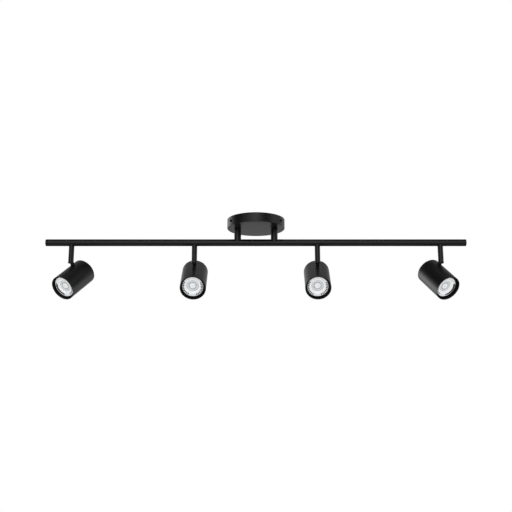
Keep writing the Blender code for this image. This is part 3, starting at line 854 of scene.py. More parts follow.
@dataclass
class Canopy:
    """The dish against the ceiling, its mounting plate, its screws and the wiring pieces."""

    body: str = "rail"
    sides: int = 192
    wall: float = 1.2 * MM
    edge_radius: float = 1.2 * MM
    rim_radius: float = 0.3 * MM
    screw_angles: tuple[float, ...] = (-150.0, -30.0, 90.0)
    side_screw: Screw = Screw(1.6 * MM, 2.8 * MM, 2.0 * MM, 8.2 * MM, Drive.CROSS)
    screw_hole: float = 2.0 * MM
    screw_seat: float = 0.3 * MM
    post_hole: float = 4.3 * MM
    plate_thickness: float = 1.5 * MM
    plate_deburr: float = 0.12 * MM
    tab_inset: float = 0.3 * MM
    tab_width: float = 14.0 * MM
    tab_drop: float = 15.0 * MM
    bridge: float = 26.0 * MM
    opening: Range = (24.0 * MM, 56.0 * MM)
    opening_corner: float = 2.5 * MM
    slot_width: float = 4.6 * MM
    slot_reach: Range = (33.0 * MM, 47.0 * MM)
    ground_hole: float = 2.15 * MM
    ground_shank: float = 1.75 * MM
    ground_head: Range = (3.5 * MM, 2.2 * MM)
    ways: int = 3
    clamp_screw: Screw = Screw(1.2 * MM, 1.7 * MM, 1.2 * MM, 3.0 * MM, Drive.SLOT)
    clamp_rise: float = 0.1 * MM
    entry_radius: float = 1.6 * MM
    well_radius: float = 1.9 * MM
    well_depth: float = 2.0 * MM
    notch_radius: float = 0.7 * MM
    terminal_edge: float = 0.2 * MM

    def __post_init__(self) -> None:
        """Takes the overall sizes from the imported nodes."""
        canopy = Room("canopy")
        self.radius, self.height = canopy.radius, canopy.size.z
        self.plate_radius = Room("mounting_plate").radius
        self.post_x = abs(Room("post_left").middle.x)
        self.ground = Room("ground_screw")

    def radial(self, angle: float, radius: float) -> Matrix:
        """A frame half way up the canopy's side, at this angle and radius, whose Z points out."""
        turn = Matrix.Rotation(math.radians(angle), 4, "Z")
        return turn @ upright(radius, 0.0, -self.height / 2) @ LENGTHWISE

    def make_dish(self) -> None:
        """The spun dish, with its rounded lower edge and its holes."""
        inner = self.radius - self.wall
        floor = -self.height + self.wall
        outline = rounded([
            (self.radius, 0.0, self.rim_radius), (self.radius, -self.height, self.edge_radius),
            (0.0, -self.height, 0.0), (0.0, floor, 0.0),
            (inner, floor, self.edge_radius), (inner, 0.0, self.rim_radius),
        ], 8)
        dish = turned("canopy_dish", outline, self.sides)
        depth = 2 * self.wall
        holes = []
        for side in (-1, 1):
            place = upright(side * self.post_x, 0.0, -self.height)
            holes.append(rod(f"post_hole_{side}", self.post_hole, -depth, depth, place))
        for angle in self.screw_angles:
            place = self.radial(angle, self.radius)
            holes.append(rod(f"screw_hole_{angle}", self.screw_hole, -2 * depth, depth, place))
        carve(dish, holes)
        install(dish, self.body, COAT, "canopy")

    def make_plate(self) -> None:
        """The mounting plate: a pressed disc with down-turned tabs, openings and slots."""
        thick = self.plate_thickness
        plate = rod("mounting_disc", self.plate_radius, -thick, 0.0)
        rim = self.plate_radius - self.tab_inset
        half = self.tab_width / 2
        tabs, holes = [], []
        for angle in self.screw_angles:
            turn = Matrix.Rotation(math.radians(angle), 4, "Z")
            low = (rim - thick, -half, -self.tab_drop)
            tabs.append(block(f"tab_{angle}", low, (rim, half, -thick / 2), turn))
            place = self.radial(angle, rim)
            holes.append(rod(f"tab_hole_{angle}", self.screw_hole, -3 * thick, 3 * thick, place))
        carve(plate, tabs, Carve.JOIN)
        width, length = self.opening
        signs = ((-1, -1), (1, -1), (1, 1), (-1, 1))
        window = [(x * width / 2, y * length / 2, self.opening_corner) for x, y in signs]
        middle = sum(self.slot_reach) / 2
        reach = (self.slot_reach[1] - self.slot_reach[0] - self.slot_width) / 2
        slot = arc((0.0, reach), self.slot_width / 2, 0.0, 180.0, 16)
        slot += arc((0.0, -reach), self.slot_width / 2, 180.0, 360.0, 16)
        for side in (-1, 1):
            place = upright(side * (self.bridge + width) / 2)
            holes.append(extruded(f"wire_opening_{side}", rounded(window, 8), -3 * thick, thick, place))
            place = upright(0.0, side * middle)
            holes.append(extruded(f"box_slot_{side}", slot, -3 * thick, thick, place))
        place = upright(0.0, self.ground.middle.y)
        holes.append(rod("ground_hole", self.ground_hole, -3 * thick, thick, place))
        carve(plate, holes)
        break_edges(plate, self.plate_deburr)
        install(plate, self.body, PLATE, "mounting_plate")

    def make_screws(self) -> None:
        """The black side screws and the green ground screw."""
        for number, angle in enumerate(self.screw_angles, 1):
            place = self.radial(angle, self.radius + self.screw_seat)
            screw = self.side_screw.make(f"side_screw_{number}", place)
            install(screw, self.body, BLACK_STEEL, f"canopy_screw_{number}")
        radius, height = self.ground_head
        middle = self.ground.middle
        seat = upright(middle.x, middle.y, self.ground.low.z + height) @ UPSIDE_DOWN
        screw = Screw(self.ground_shank, radius, height, self.ground.size.z - height, Drive.SLOT)
        install(screw.make("ground_terminal_screw", seat), self.body, GROUND, "ground_screw")

    def make_terminal(self) -> None:
        """The terminal block, with its wire entries, clamp wells and clamp screws."""
        room = Room("terminal_block")
        low, middle, height = room.low, room.middle, room.size.z
        step = room.size.x / self.ways
        depth = 2 * room.size.y
        ways = [low.x + step * (way + 0.5) for way in range(self.ways)]
        body = block("terminal_body", low, room.high)
        tools = []
        for x in ways:
            entry = upright(x, middle.y, middle.z) @ CROSSWISE
            tools.append(rod(f"entry_{x:.3f}", self.entry_radius, -depth, depth, entry))
            well = upright(x, middle.y, low.z)
            tools.append(rod(f"well_{x:.3f}", self.well_radius, -PAST, self.well_depth, well))
        for way in range(1, self.ways):
            for edge in (low.y, room.high.y):
                notch = upright(low.x + step * way, edge, low.z)
                tools.append(rod(f"notch_{way}_{edge:.3f}", self.notch_radius, -PAST, height + PAST, notch))
        carve(body, tools)
        break_edges(body, self.terminal_edge)
        install(body, self.body, TERMINAL, "terminal_block")
        for number, x in enumerate(ways, 1):
            seat = upright(x, middle.y, low.z + self.well_depth - self.clamp_rise) @ UPSIDE_DOWN
            install(self.clamp_screw.make(f"clamp_screw_{number}", seat), self.body, STEEL)

    def build(self) -> None:
        """Builds the canopy's pieces in the order in which they are assembled."""
        self.make_plate()
        self.make_terminal()
        self.make_dish()
        self.make_screws()


# Posts and bar


@dataclass
class Post:
    """A tube between canopy and bar, with the threaded tie and the nut that clamp it."""

    word: str
    body: str = "rail"
    wall: float = 1.2 * MM
    edge: float = 0.2 * MM
    scoop_reach: float = 20.0 * MM
    tie_radius: float = 4.0 * MM
    tie_bore: float = 2.5 * MM
    tie_edge: float = 0.25 * MM
    tie_relief: float = 0.4 * MM
    tie_thread: Thread = Thread(0.9 * MM)
    tie_head: float = 2.6 * MM
    nut_chamfer: float = 0.7 * MM
    nut_past: float = 3.0 * MM

    def __post_init__(self) -> None:
        """Takes the post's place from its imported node."""
        self.room = Room(f"post_{self.word}")
        self.x = self.room.middle.x
        self.place = upright(self.x)

    def make_tube(self) -> None:
        """The tube, whose lower end is scooped to sit on the bar."""
        bar = Room("bar_tube")
        radii = (self.room.radius - self.wall, self.room.radius)
        span = (bar.middle.z, self.room.high.z)
        tube = sleeve(f"post_tube_{self.word}", radii, span, self.edge, self.place)
        place = upright(self.x, 0.0, bar.middle.z) @ LENGTHWISE
        scoop = bar.size.z / 2 + GAP
        carve(tube, [rod("post_scoop", scoop, -self.scoop_reach, self.scoop_reach, place, 128)])
        install(tube, self.body, COAT, f"post_{self.word}")

    def make_tie(self) -> None:
        """The hollow threaded tie, headed inside the bar."""
        room = Room(f"post_tie_{self.word}")
        low, high = room.low.z, room.high.z
        seat = low + self.tie_head
        head = [(self.tie_bore, low), (room.radius, low), (room.radius, seat)]
        outline = rounded(evenly(head, self.tie_edge))
        outline += self.tie_thread.along(self.tie_radius, seat + PAST, high - self.tie_relief)
        outline += [(self.tie_radius - self.tie_relief, high), (self.tie_bore, high)]
        tie = turned(f"hollow_tie_{self.word}", outline, 64, self.place)
        install(tie, self.body, STEEL, f"post_tie_{self.word}")

    def make_nut(self) -> None:
        """The hexagonal nut on the canopy's floor, with both faces chamfered."""
        room = Room(f"post_nut_{self.word}")
        low, high, corner = room.low.z, room.high.z, room.radius
        hexagon = arc((0.0, 0.0), corner, 0.0, 300.0, 5)
        nut = extruded(f"clamp_nut_{self.word}", hexagon, low, high, self.place)
        flat = corner * math.cos(math.pi / 6)
        far = flat + self.nut_past
        ring = turned("nut_chamfer", [
            (far, low - PAST), (far, high + PAST), (flat, high + PAST), (flat, high),
            (corner, high - self.nut_chamfer), (corner, low + self.nut_chamfer),
            (flat, low), (flat, low - PAST),
        ], 96, self.place)
        bore = rod("nut_bore", self.tie_radius + GAP, low - PAST, high + PAST, self.place)
        carve(nut, [ring, bore])
        install(nut, self.body, STEEL, f"post_nut_{self.word}")

    def build(self) -> None:
        """Builds the post's three pieces."""
        self.make_tube()
        self.make_tie()
        self.make_nut()


@dataclass
class Bar:
    """The straight tube and its two end plugs."""

    body: str = "rail"
    wall: float = 1.2 * MM
    hole_radius: float = 4.3 * MM
    edge_radius: float = 1.0 * MM
    seam_radius: float = 0.25 * MM
    spigot: float = 8.0 * MM
    spigot_edge: float = 0.4 * MM

    def __post_init__(self) -> None:
        """Takes the bar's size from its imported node."""
        self.room = Room("bar_tube")
        self.radius = self.room.size.z / 2
        self.axis_z = self.room.middle.z

    def make_tube(self, stem_xs: Iterable[float], post_xs: Iterable[float]) -> None:
        """The tube.

        Args:
            stem_xs: Where a hole goes through its lower wall.
            post_xs: Where a hole goes through its upper wall.
        """
        place = upright(0.0, 0.0, self.axis_z) @ LENGTHWISE
        span = (self.room.low.x, self.room.high.x)
        tube = sleeve("bar_pipe", (self.radius - self.wall, self.radius), span, self.seam_radius, place)
        reach = self.radius + PAST
        holes = []
        for xs, low, high in ((stem_xs, -reach, 0.0), (post_xs, 0.0, reach)):
            for x in xs:
                where = upright(x, 0.0, self.axis_z)
                holes.append(rod(f"hole_{x:.3f}", self.hole_radius, low, high, where))
        carve(tube, holes)
        install(tube, self.body, COAT, "bar_tube")

    def make_plug(self, word: str, side: int) -> None:
        """One end plug: a spigot inside the tube and a rounded button outside it.

        Args:
            word: Which end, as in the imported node's name.
            side: 1 at the bar's +X end, -1 at the other.
        """
        cap = Room(f"end_cap_{word}")
        tip, end = (cap.high.x, self.room.high.x) if side > 0 else (cap.low.x, self.room.low.x)
        seat = side * (tip - end) - GAP
        inner = self.radius - self.wall - GAP
        outline = rounded([
            (0.0, -self.spigot, 0.0), (inner, -self.spigot, self.spigot_edge), (inner, 0.0, 0.0),
            (self.radius, 0.0, self.seam_radius), (self.radius, seat, self.edge_radius), (0.0, seat, 0.0),
        ], 8)
        turn = Matrix.Rotation(math.radians(side * 90.0), 4, "Y")
        place = upright(tip - side * seat, 0.0, self.axis_z) @ turn
        plug = turned(f"bar_plug_{word}", outline, 96, place)
        install(plug, self.body, COAT, f"end_cap_{word}")

    def build(self, stem_xs: Iterable[float], post_xs: Iterable[float]) -> None:
        """Builds the tube, with holes at these places, and its plugs."""
        self.make_tube(stem_xs, post_xs)
        self.make_plug("left", -1)
        self.make_plug("right", 1)


# Stem and knuckle


@dataclass
class Stem:
    """A turning stem under the bar, with the fixed collar above it and the pin at its lower end."""

    number: int
    wall: float = 0.9 * MM
    edge: float = 0.18 * MM
    lip_height: float = 1.3 * MM
    lip_overhang: float = 0.5 * MM
    lip_edge: float = 0.35 * MM
    collar_height: float = 1.4 * MM
    collar_edge: float = 0.15 * MM
    scoop_reach: float = 20.0 * MM
    nipple_radius: float = 4.0 * MM
    nipple_bore: float = 2.5 * MM
    nipple_neck: float = 0.3 * MM
    nipple_relief: float = 0.4 * MM
    nipple_run_out: float = 0.2 * MM
    nipple_thread: Thread = Thread(0.75 * MM)
    shoulder: float = 2.0 * MM
    nut_edge: float = 0.2 * MM
    flat_share: float = 0.93
    flat_rise: float = 0.9 * MM
    slot_width: float = 8.2 * MM
    slot_rise: float = 2.9 * MM
    pin_radius: float = 1.5 * MM
    pin_dome: float = 0.5 * MM
    pin_slot: Range = (0.5 * MM, 0.7 * MM)

    def __post_init__(self) -> None:
        """Takes the stem's two axes from the record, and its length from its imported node."""
        swivel = joint_called(f"swivel_{self.number}")
        tilt = joint_called(f"tilt_{self.number}")
        self.body = swivel["child"]
        self.anchor = Vector(swivel["pos_m"])
        side = Vector(tilt["axis"]).normalized()
        up = Vector((0.0, 0.0, 1.0))
        turn = Matrix((side, up.cross(side), up)).transposed().to_4x4()
        self.place = Matrix.Translation(self.anchor) @ turn
        self.pin_z = Vector(tilt["pos_m"]).z - self.anchor.z
        self.across = self.place @ upright(0.0, 0.0, self.pin_z) @ LENGTHWISE
        room = Room(f"stem_{self.number}", self.place)
        self.end = room.low.z
        self.nipple_top = room.high.z
        self.radius = room.radius - self.lip_overhang
        self.bar_radius = Room("bar_tube").size.z / 2
        self.top = -self.bar_radius - self.collar_height - GAP

    def make_collar(self) -> None:
        """The fixed collar, scooped to the bar."""
        place = Matrix.Translation(self.anchor)
        radii = (self.nipple_radius + GAP, self.radius)
        span = (self.top + GAP, 0.0)
        collar = sleeve(f"bar_collar_{self.number}", radii, span, self.collar_edge, place)
        scoop, reach = self.bar_radius + GAP, self.scoop_reach
        carve(collar, [rod("collar_scoop", scoop, -reach, reach, place @ LENGTHWISE, 128)])
        install(collar, "rail", COAT, f"stem_collar_{self.number}")

    def make_nut(self) -> None:
        """The round nut inside the bar, with the two flats that a spanner holds."""
        room = Room(f"swivel_nut_{self.number}", self.place)
        low, high, radius = room.low.z, room.high.z, room.radius
        radii = (self.nipple_radius + GAP, radius)
        nut = sleeve(f"round_nut_{self.number}", radii, (low, high), self.nut_edge, self.place, 64)
        flats = []
        for side in (-1, 1):
            near, far = sorted((side * radius * self.flat_share, side * radius * 2))
            corner = (-radius, near, low + self.flat_rise)
            flats.append(block(f"flat_{side}", corner, (radius, far, high + PAST), self.place))
        carve(nut, flats)
        install(nut, self.body, STEEL, f"swivel_nut_{self.number}")

    def make_tube(self) -> None:
        """The stem: a tube with a threaded nipple on top, and a lip and a slot below."""
        inner, lip = self.radius - self.wall, self.radius + self.lip_overhang
        lip_top, inside = self.end + self.lip_height, self.top - self.shoulder
        nipple, top = self.nipple_radius, self.nipple_top
        outline = rounded([
            (inner, self.end, self.edge), (lip, self.end, self.lip_edge), (lip, lip_top, self.lip_edge),
            (self.radius, lip_top, self.edge), (self.radius, self.top, self.edge),
            (nipple - self.nipple_neck, self.top, 0.0),
        ])
        start, stop = self.top + self.nipple_relief, top - self.nipple_run_out
        outline += self.nipple_thread.along(nipple, start, stop)
        outline += [
            (nipple - self.nipple_relief, top), (self.nipple_bore, top), (self.nipple_bore, inside),
            (inner, inside),
        ]
        tube = turned(f"stem_tube_{self.number}", outline, 96, self.place)
        half, reach = self.slot_width / 2, 2 * self.radius
        corner = (half, 3 * self.radius, self.pin_z + self.slot_rise)
        slot = block("stem_slot", (-half, 0.0, self.end - PAST), corner, self.place)
        hole = rod("pin_hole", self.pin_radius + GAP, -reach, reach, self.across)
        carve(tube, [slot, hole])
        install(tube, self.body, COAT, f"stem_{self.number}")

    def make_pin(self) -> None:
        """The cross pin, domed at both ends and slotted at one."""
        reach = self.radius - GAP
        rim = reach - self.pin_dome
        round_off = arc((0.0, 0.0), 1.0, 0.0, 90.0, 6)
        dome = [(self.pin_radius * x, rim + self.pin_dome * y) for x, y in round_off]
        dome[-1] = (0.0, reach)
        outline = [(x, -y) for x, y in reversed(dome)] + dome
        pin = turned(f"tilt_pin_{self.number}", outline, 48, self.across)
        width, depth = self.pin_slot
        low = (-2 * self.pin_radius, -width / 2, reach - depth)
        high = (2 * self.pin_radius, width / 2, reach + PAST)
        carve(pin, [block("pin_slot", low, high, self.across)])
        install(pin, self.body, BLACK_STEEL, f"pivot_pin_{self.number}")

    def build(self) -> None:
        """Builds the stem's pieces from the bar downwards."""
        self.make_collar()
        self.make_nut()
        self.make_tube()
        self.make_pin()


# Heads


@dataclass
class Lamp:
    """The twist-lock reflector lamp: housing, heat sink black as painted shade, slotted bezel and optic. +Z
    is forward.

    A field whose name ends in share or reach is a share of the lamp's radius.
    """

    number: int
    body: str
    place: Matrix
    clip_arc: Range | None
    rim_height: float = 4.0 * MM
    cone_length: float = 26.0 * MM
    cone_end: float = 15.0 * MM
    base_radius: float = 10.0 * MM
    base_length: float = 12.0 * MM
    pin_length: float = 6.5 * MM
    pin_radius: float = 2.2 * MM
    pin_waist: float = 1.3 * MM
    pin_head: Range = (2.0 * MM, 2.6 * MM)
    pin_spacing: float = 10.0 * MM
    edge: float = 0.5 * MM
    pin_edge: float = 0.2 * MM
    well_share: float = 0.918
    dish_depth: float = 6.6 * MM
    trim_height: float = 1.6 * MM
    trim_inset: Range = (0.05 * MM, 0.1 * MM)
    trim_edge: float = 0.25 * MM
    sink_reach: Range = (0.69, 0.914)
    sink_drop: float = 0.2 * MM
    sink_edge: float = 0.1 * MM
    bezel_reach: Range = (0.690, 0.908)
    bezel_depth: float = 3.2 * MM
    bezel_falls: Range = (0.4 * MM, 0.1 * MM)
    bezel_edges: Range = (0.3 * MM, 0.4 * MM)
    slot_reach: Range = (0.720, 0.880)
    slot_pitch: float = 11.5
    slot_fill: float = 0.60
    slot_arcs: tuple[Range, ...] = ((150.0, 244.0), (-64.0, 30.0))
    clip_share: float = 0.758
    clip_width: float = 2.8 * MM
    clip_rise: float = 0.35 * MM
    clip_sink: float = 0.5 * MM
    clip_eye: float = 2.3 * MM
    clip_deburr: float = 0.15 * MM
    socket_depth: float = 7.1 * MM
    rivet: Range = (1.6 * MM, 3.0 * MM)
    holder_taper: Range = (0.92, 2.0 * MM)
    holder_edge: float = 0.8 * MM
    lens_edge: float = 0.30 * MM
    lens_profile: tuple[Range, ...] = (
        (0.000, -3.30), (0.080, -3.34), (0.150, -3.48), (0.210, -3.80), (0.250, -4.30), (0.280, -5.30),
        (0.325, -5.60), (0.345, -4.80), (0.400, -4.65), (0.450, -4.55), (0.478, -4.60), (0.488, -5.60),
        (0.520, -5.50), (0.532, -4.10), (0.575, -2.90), (0.625, -1.70), (0.665, -0.80), (0.688, -0.45),
        (0.688, -6.60), (0.000, -6.60),
    )

    def __post_init__(self) -> None:
        """Takes the lamp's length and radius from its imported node."""
        room = Room(f"lamp_body_{self.number}", self.place)
        self.front, self.tip, self.radius = room.high.z, room.low.z, room.radius
        self.base_end = self.tip + self.pin_length
        self.face_place = self.place @ upright(0.0, 0.0, self.front)
        self.pin_places = [self.place @ upright(side * self.pin_spacing / 2) for side in (-1, 1)]

    def make_housing(self) -> None:
        """The moulded housing with its base and the two lock pins."""
        shoulder = self.front - self.rim_height
        floor = self.front - self.dish_depth - GAP
        trim_back = self.front - self.trim_height
        well = self.radius * self.well_share
        outline = rounded(evenly([
            (0.0, floor), (well, floor), (well, trim_back),
            (self.radius, trim_back), (self.radius, shoulder), (self.cone_end, shoulder - self.cone_length),
            (self.base_radius, self.base_end + self.base_length), (self.base_radius, self.base_end),
            (0.0, self.base_end),
        ], self.edge))
        housing = turned(f"lamp_housing_{self.number}", outline, 96, self.place)
        root = self.base_end + PAST
        head, neck = (self.tip + height for height in self.pin_head)
        pin = rounded(evenly([
            (0.0, self.tip), (self.pin_radius, self.tip), (self.pin_radius, head),
            (self.pin_waist, neck), (self.pin_waist, root), (0.0, root),
        ], self.pin_edge))
        pins = [turned("lock_pin", pin, 32, place) for place in self.pin_places]
        carve(housing, pins, Carve.JOIN)
        install(housing, self.body, LAMP_SHELL, f"lamp_body_{self.number}")

    def make_sink(self) -> None:
        """The heat sink behind the bezel's slots and the trim round its edge, both black as painted shade:
        the sink darkens the slots and the trim is a painted shadow at the lamp's rim.
        """
        inner, outer = (self.radius * share for share in self.sink_reach)
        span = (self.front - self.dish_depth, self.front - self.bezel_depth - self.sink_drop)
        sink = sleeve(f"lamp_painted_shade_sink_{self.number}", (inner, outer), span, self.sink_edge, self.place)
        install(sink, self.body, BLACK_CLIP_AND_PAINTED_SHADE)
        back, fore = self.trim_inset
        span = (self.front - self.trim_height + back, self.front - fore)
        radii = (outer, self.radius)
        trim = sleeve(f"lamp_painted_shadow_trim_{self.number}", radii, span, self.trim_edge, self.place)
        install(trim, self.body, BLACK_CLIP_AND_PAINTED_SHADE)

    def make_bezel(self) -> None:
        """The bezel ring, slotted at both sides so that the lamp can breathe. Its zero is its front."""
        inner, outer = (self.radius * share for share in self.bezel_reach)
        (inner_fall, outer_fall), (inner_edge, outer_edge) = self.bezel_falls, self.bezel_edges
        back = -self.bezel_depth
        outline = rounded([
            (inner, back, 0.0), (outer, back, 0.0), (outer, -outer_fall, outer_edge),
            (inner, -inner_fall, inner_edge),
        ])
        bezel = turned(f"lamp_bezel_{self.number}", outline, 168, self.face_place)
        low, high = (self.radius * share for share in self.slot_reach)
        half = math.radians(self.slot_pitch * self.slot_fill / 2)
        bm = bmesh.new()
        for first, last in self.slot_arcs:
            for slot in range(int((last - first) / self.slot_pitch) + 1):
                angle = math.radians(first + self.slot_pitch * slot)
                loop = ((low, -half), (high, -half), (high, half), (low, half))
                points = [(r * math.cos(angle + a), r * math.sin(angle + a)) for r, a in loop]
                raise_loop(bm, points, back - PAST, 2 * PAST)
        carve(bezel, [object_from(bm, "bezel_slots", self.face_place)])
        install(bezel, self.body, BEZEL)

    def make_clip(self) -> None:
        """The black spring clip that lies over the slots on one side, with an eye at its upper end."""
        radius, half = self.clip_share * self.radius, self.clip_width / 2
        first, last = self.clip_arc
        band = arc((0.0, 0.0), radius + half, first, last, 40)
        band += arc((0.0, 0.0), radius - half, last, first, 40)
        low, high = self.front - self.clip_sink, self.front + self.clip_rise
        clip = extruded(f"lamp_clip_{self.number}", band, low, high, self.place)
        where = arc((0.0, 0.0), radius, first, last, 1)[0]
        eye = rod("clip_eye", self.clip_eye, low, high, self.place @ upright(*where))
        carve(clip, [eye], Carve.JOIN)
        break_edges(clip, self.clip_deburr)
        install(clip, self.body, BLACK_CLIP_AND_PAINTED_SHADE)

    def make_optic(self) -> None:
        """The optic: a dome in a well, then a shallow cone with a fine groove. Its zero is its front."""
        widest = max(share for share, _ in self.lens_profile)
        corners = []
        for share, height in self.lens_profile:
            soft = self.lens_edge if 0.0 < share < widest else 0.0
            corners.append((self.radius * share, height * MM, soft))
        optic = turned(f"lamp_lens_{self.number}", rounded(corners, 3), 128, self.face_place)
        install(optic, self.body, OPTIC, f"lamp_optic_{self.number}")

    def make_holder(self) -> None:
        """The ceramic holder, with its two sockets and the recess of its fixing rivet."""
        room = Room(f"lamp_holder_{self.number}", self.place)
        low, high, radius = room.low.z, room.high.z, room.radius
        share, rise = self.holder_taper
        corners = [(0.0, low), (radius * share, low), (radius, low + rise), (radius, high), (0.0, high)]
        outline = rounded(evenly(corners, self.holder_edge))
        holder = turned(f"ceramic_holder_{self.number}", outline, 64, self.place)
        socket, floor = self.pin_radius + GAP, high - self.socket_depth
        tools = [rod("socket", socket, floor, high + PAST, place) for place in self.pin_places]
        rivet, depth = self.rivet
        tools.append(rod("rivet_recess", rivet, high - depth, high + PAST, self.place))
        carve(holder, tools)
        install(holder, self.body, CERAMIC, f"lamp_holder_{self.number}")

    def build(self) -> None:
        """Builds the lamp and its holder from back to front."""
        self.make_holder()
        self.make_housing()
        self.make_sink()
        self.make_bezel()
        self.make_optic()
        if self.clip_arc:
            self.make_clip()


@dataclass
class Head:
    """One aimed head: tongue, shell, rear cap, retaining ring and lamp. Local +Z is forward, +Y up."""

    number: int
    clip_arc: Range | None = None
    wall: float = 1.2 * MM
    edge: float = 0.25 * MM
    front_edge: float = 0.45 * MM
    groove_depth: float = 0.6 * MM
    tongue_width: float = 7.6 * MM
    tongue_thickness: float = 5.2 * MM
    foot_size: float = 13.0 * MM
    foot_thickness: float = 1.5 * MM
    slot_reach: Range = (0.5, 1.2)
    pin_hole: float = 1.8 * MM
    band: float = 4.0 * MM
    band_edge: float = 0.9 * MM
    rear_plate: float = 1.5 * MM
    dish_reach: Range = (0.82, 0.85)
    dish_depth: float = 0.35 * MM
    dish_edge: float = 0.4 * MM
    spigot: float = 5.0 * MM
    spigot_edge: float = 0.2 * MM
    inner_corner: float = 0.5 * MM
    boss_radius: float = 9.0 * MM
    boss_edge: float = 0.3 * MM
    vents: int = 6
    vent_radius: float = 2.0 * MM
    vent_circle: float = 17.0 * MM
    vent_countersink: float = 0.4 * MM
    vent_depths: Range = (0.45 * MM, 0.85 * MM)
    vent_length: float = 4.0 * MM
    wire_radius: float = 0.7 * MM
    ring_gap: float = 50.0
    ear_length: float = 3.5 * MM

    def __post_init__(self) -> None:
        """Finds the head's axis from its packed lamp and its pivot from the record."""
        tilt = joint_called(f"tilt_{self.number}")
        self.body = tilt["child"]
        side = Vector(tilt["axis"]).normalized()
        optic, cap = (centre_of(f"{word}_{self.number}") for word in ("lamp_optic", "rear_cap"))
        forward = (optic - cap).normalized()
        up = forward.cross(side).normalized()
        turn = Matrix((side, up, forward)).transposed().to_4x4()
        self.pivot_place = Matrix.Translation(Vector(tilt["pos_m"])) @ turn
        shell = Room(f"shell_{self.number}", self.pivot_place)
        self.radius, self.bore = shell.radius, shell.radius - self.wall
        self.shell_back, self.front = shell.low.z, shell.high.z
        self.drop = -shell.middle.y
        self.place = self.pivot_place @ upright(0.0, -self.drop)
        cap_room = Room(f"rear_cap_{self.number}", self.place)
        self.back, self.boss_front = cap_room.low.z, cap_room.high.z
        lamp_front = Room(f"lamp_body_{self.number}", self.place).high.z
        self.ring_height = lamp_front + GAP + self.wire_radius

    def make_shell(self) -> None:
        """The tubular shell, with its rolled front edge, ring groove and tongue slot."""
        half = self.wire_radius + GAP
        low, high = self.ring_height - half, self.ring_height + half
        bore, groove = self.bore, self.bore + self.groove_depth
        outline = rounded([
            (self.radius, self.shell_back, self.edge), (self.radius, self.front, self.front_edge),
            (bore, self.front, self.front_edge), (bore, high, 0.0), (groove, high, 0.0),
            (groove, low, 0.0), (bore, low, 0.0), (bore, self.shell_back, self.edge),
        ], 6)
        shell = turned(f"head_shell_{self.number}", outline, 128, self.place)
        width, thick = self.tongue_width / 2 + GAP, self.tongue_thickness / 2 + GAP
        start, stop = self.slot_reach
        corners = (-width, bore * start, -thick), (width, self.radius * stop, thick)
        carve(shell, [block("tongue_slot", *corners, self.place)])
        install(shell, self.body, COAT, f"shell_{self.number}")

    def make_rear_cap(self) -> None:
        """The rear cap: a band with a fine seam, a plate with vents and a boss for the holder."""
        back, seat = self.back, self.back + self.band
        outer = self.bore - GAP
        inner = outer - self.wall
        plate, dish, spigot = back + self.rear_plate, back + self.dish_depth, seat + self.spigot
        dish_inner, dish_outer = (self.radius * share for share in self.dish_reach)
        outline = rounded([
            (0.0, dish, 0.0), (dish_inner, dish, self.dish_edge), (dish_outer, back, self.dish_edge),
            (self.radius, back, self.band_edge), (self.radius, seat, self.edge), (outer, seat, 0.0),
            (outer, spigot, self.spigot_edge), (inner, spigot, self.spigot_edge),
            (inner, plate, self.inner_corner), (self.boss_radius, plate, self.inner_corner),
            (self.boss_radius, self.boss_front, self.boss_edge), (0.0, self.boss_front, 0.0),
        ], 6)
        cap = turned(f"head_rear_{self.number}", outline, 128, self.place)
        wide, (sink, floor) = self.vent_radius + self.vent_countersink, self.vent_depths
        vent = [
            (0.0, -PAST), (wide, -PAST), (wide, sink), (self.vent_radius, floor),
            (self.vent_radius, self.vent_length), (0.0, self.vent_length),
        ]
        tools = []
        for number in range(self.vents):
            angle = math.tau * number / self.vents
            x, y = self.vent_circle * math.cos(angle), self.vent_circle * math.sin(angle)
            tools.append(turned(f"vent_{number}", vent, 40, self.place @ upright(x, y, back)))
        carve(cap, tools)
        install(cap, self.body, COAT, f"rear_cap_{self.number}")

    def make_tongue(self) -> None:
        """The tongue on the pin, with the curved foot that clamps inside the shell."""
        half, width = self.tongue_thickness / 2, self.tongue_width / 2
        outer = self.bore - GAP
        root = self.drop - outer + self.foot_thickness / 2
        side_view = arc((0.0, 0.0), half, 0.0, 180.0, 24) + [(-half, -root), (half, -root)]
        sideways = self.pivot_place @ EXACT_QUARTER
        tongue = extruded(f"head_tongue_{self.number}", side_view, -width, width, sideways)
        spread = math.degrees(self.foot_size / 2 / outer)
        strip = arc((0.0, 0.0), outer, 90.0 - spread, 90.0 + spread, 20)
        strip += arc((0.0, 0.0), outer - self.foot_thickness, 90.0 + spread, 90.0 - spread, 20)
        foot = extruded("tongue_foot", strip, -self.foot_size / 2, self.foot_size / 2, self.place)
        carve(tongue, [foot], Carve.JOIN)
        across = self.pivot_place @ LENGTHWISE
        carve(tongue, [rod("tongue_bore", self.pin_hole, -2 * width, 2 * width, across)])
        break_edges(tongue, self.edge)
        install(tongue, self.body, COAT, f"tongue_{self.number}")

    def make_ring(self) -> None:
        """The open wire ring in the shell's groove, with two ears to squeeze it by."""
        name = f"ring_wire_{self.number}"
        middle = self.bore + self.groove_depth - GAP - self.wire_radius
        half = self.ring_gap / 2
        route = arc((0.0, 0.0), middle, -90.0 + half, 270.0 - half, 96)
        inward = (middle - self.ear_length) / middle
        first, last = ((x * inward, y * inward) for x, y in (route[0], route[-1]))
        points = [first, *route, last]
        curve = bpy.data.curves.new(name, "CURVE")
        curve.dimensions = "3D"
        curve.bevel_depth = self.wire_radius
        curve.bevel_resolution = 4
        curve.use_fill_caps = True
        spline = curve.splines.new("POLY")
        spline.points.add(len(points) - 1)
        for point, (x, y) in zip(spline.points, points):
            point.co = (x, y, self.ring_height, 1.0)
        ring = bpy.data.objects.new(name, curve)
        bpy.context.scene.collection.objects.link(ring)
        ring.matrix_world = self.place
        install(ring, self.body, BLACK_STEEL, f"retaining_ring_{self.number}")

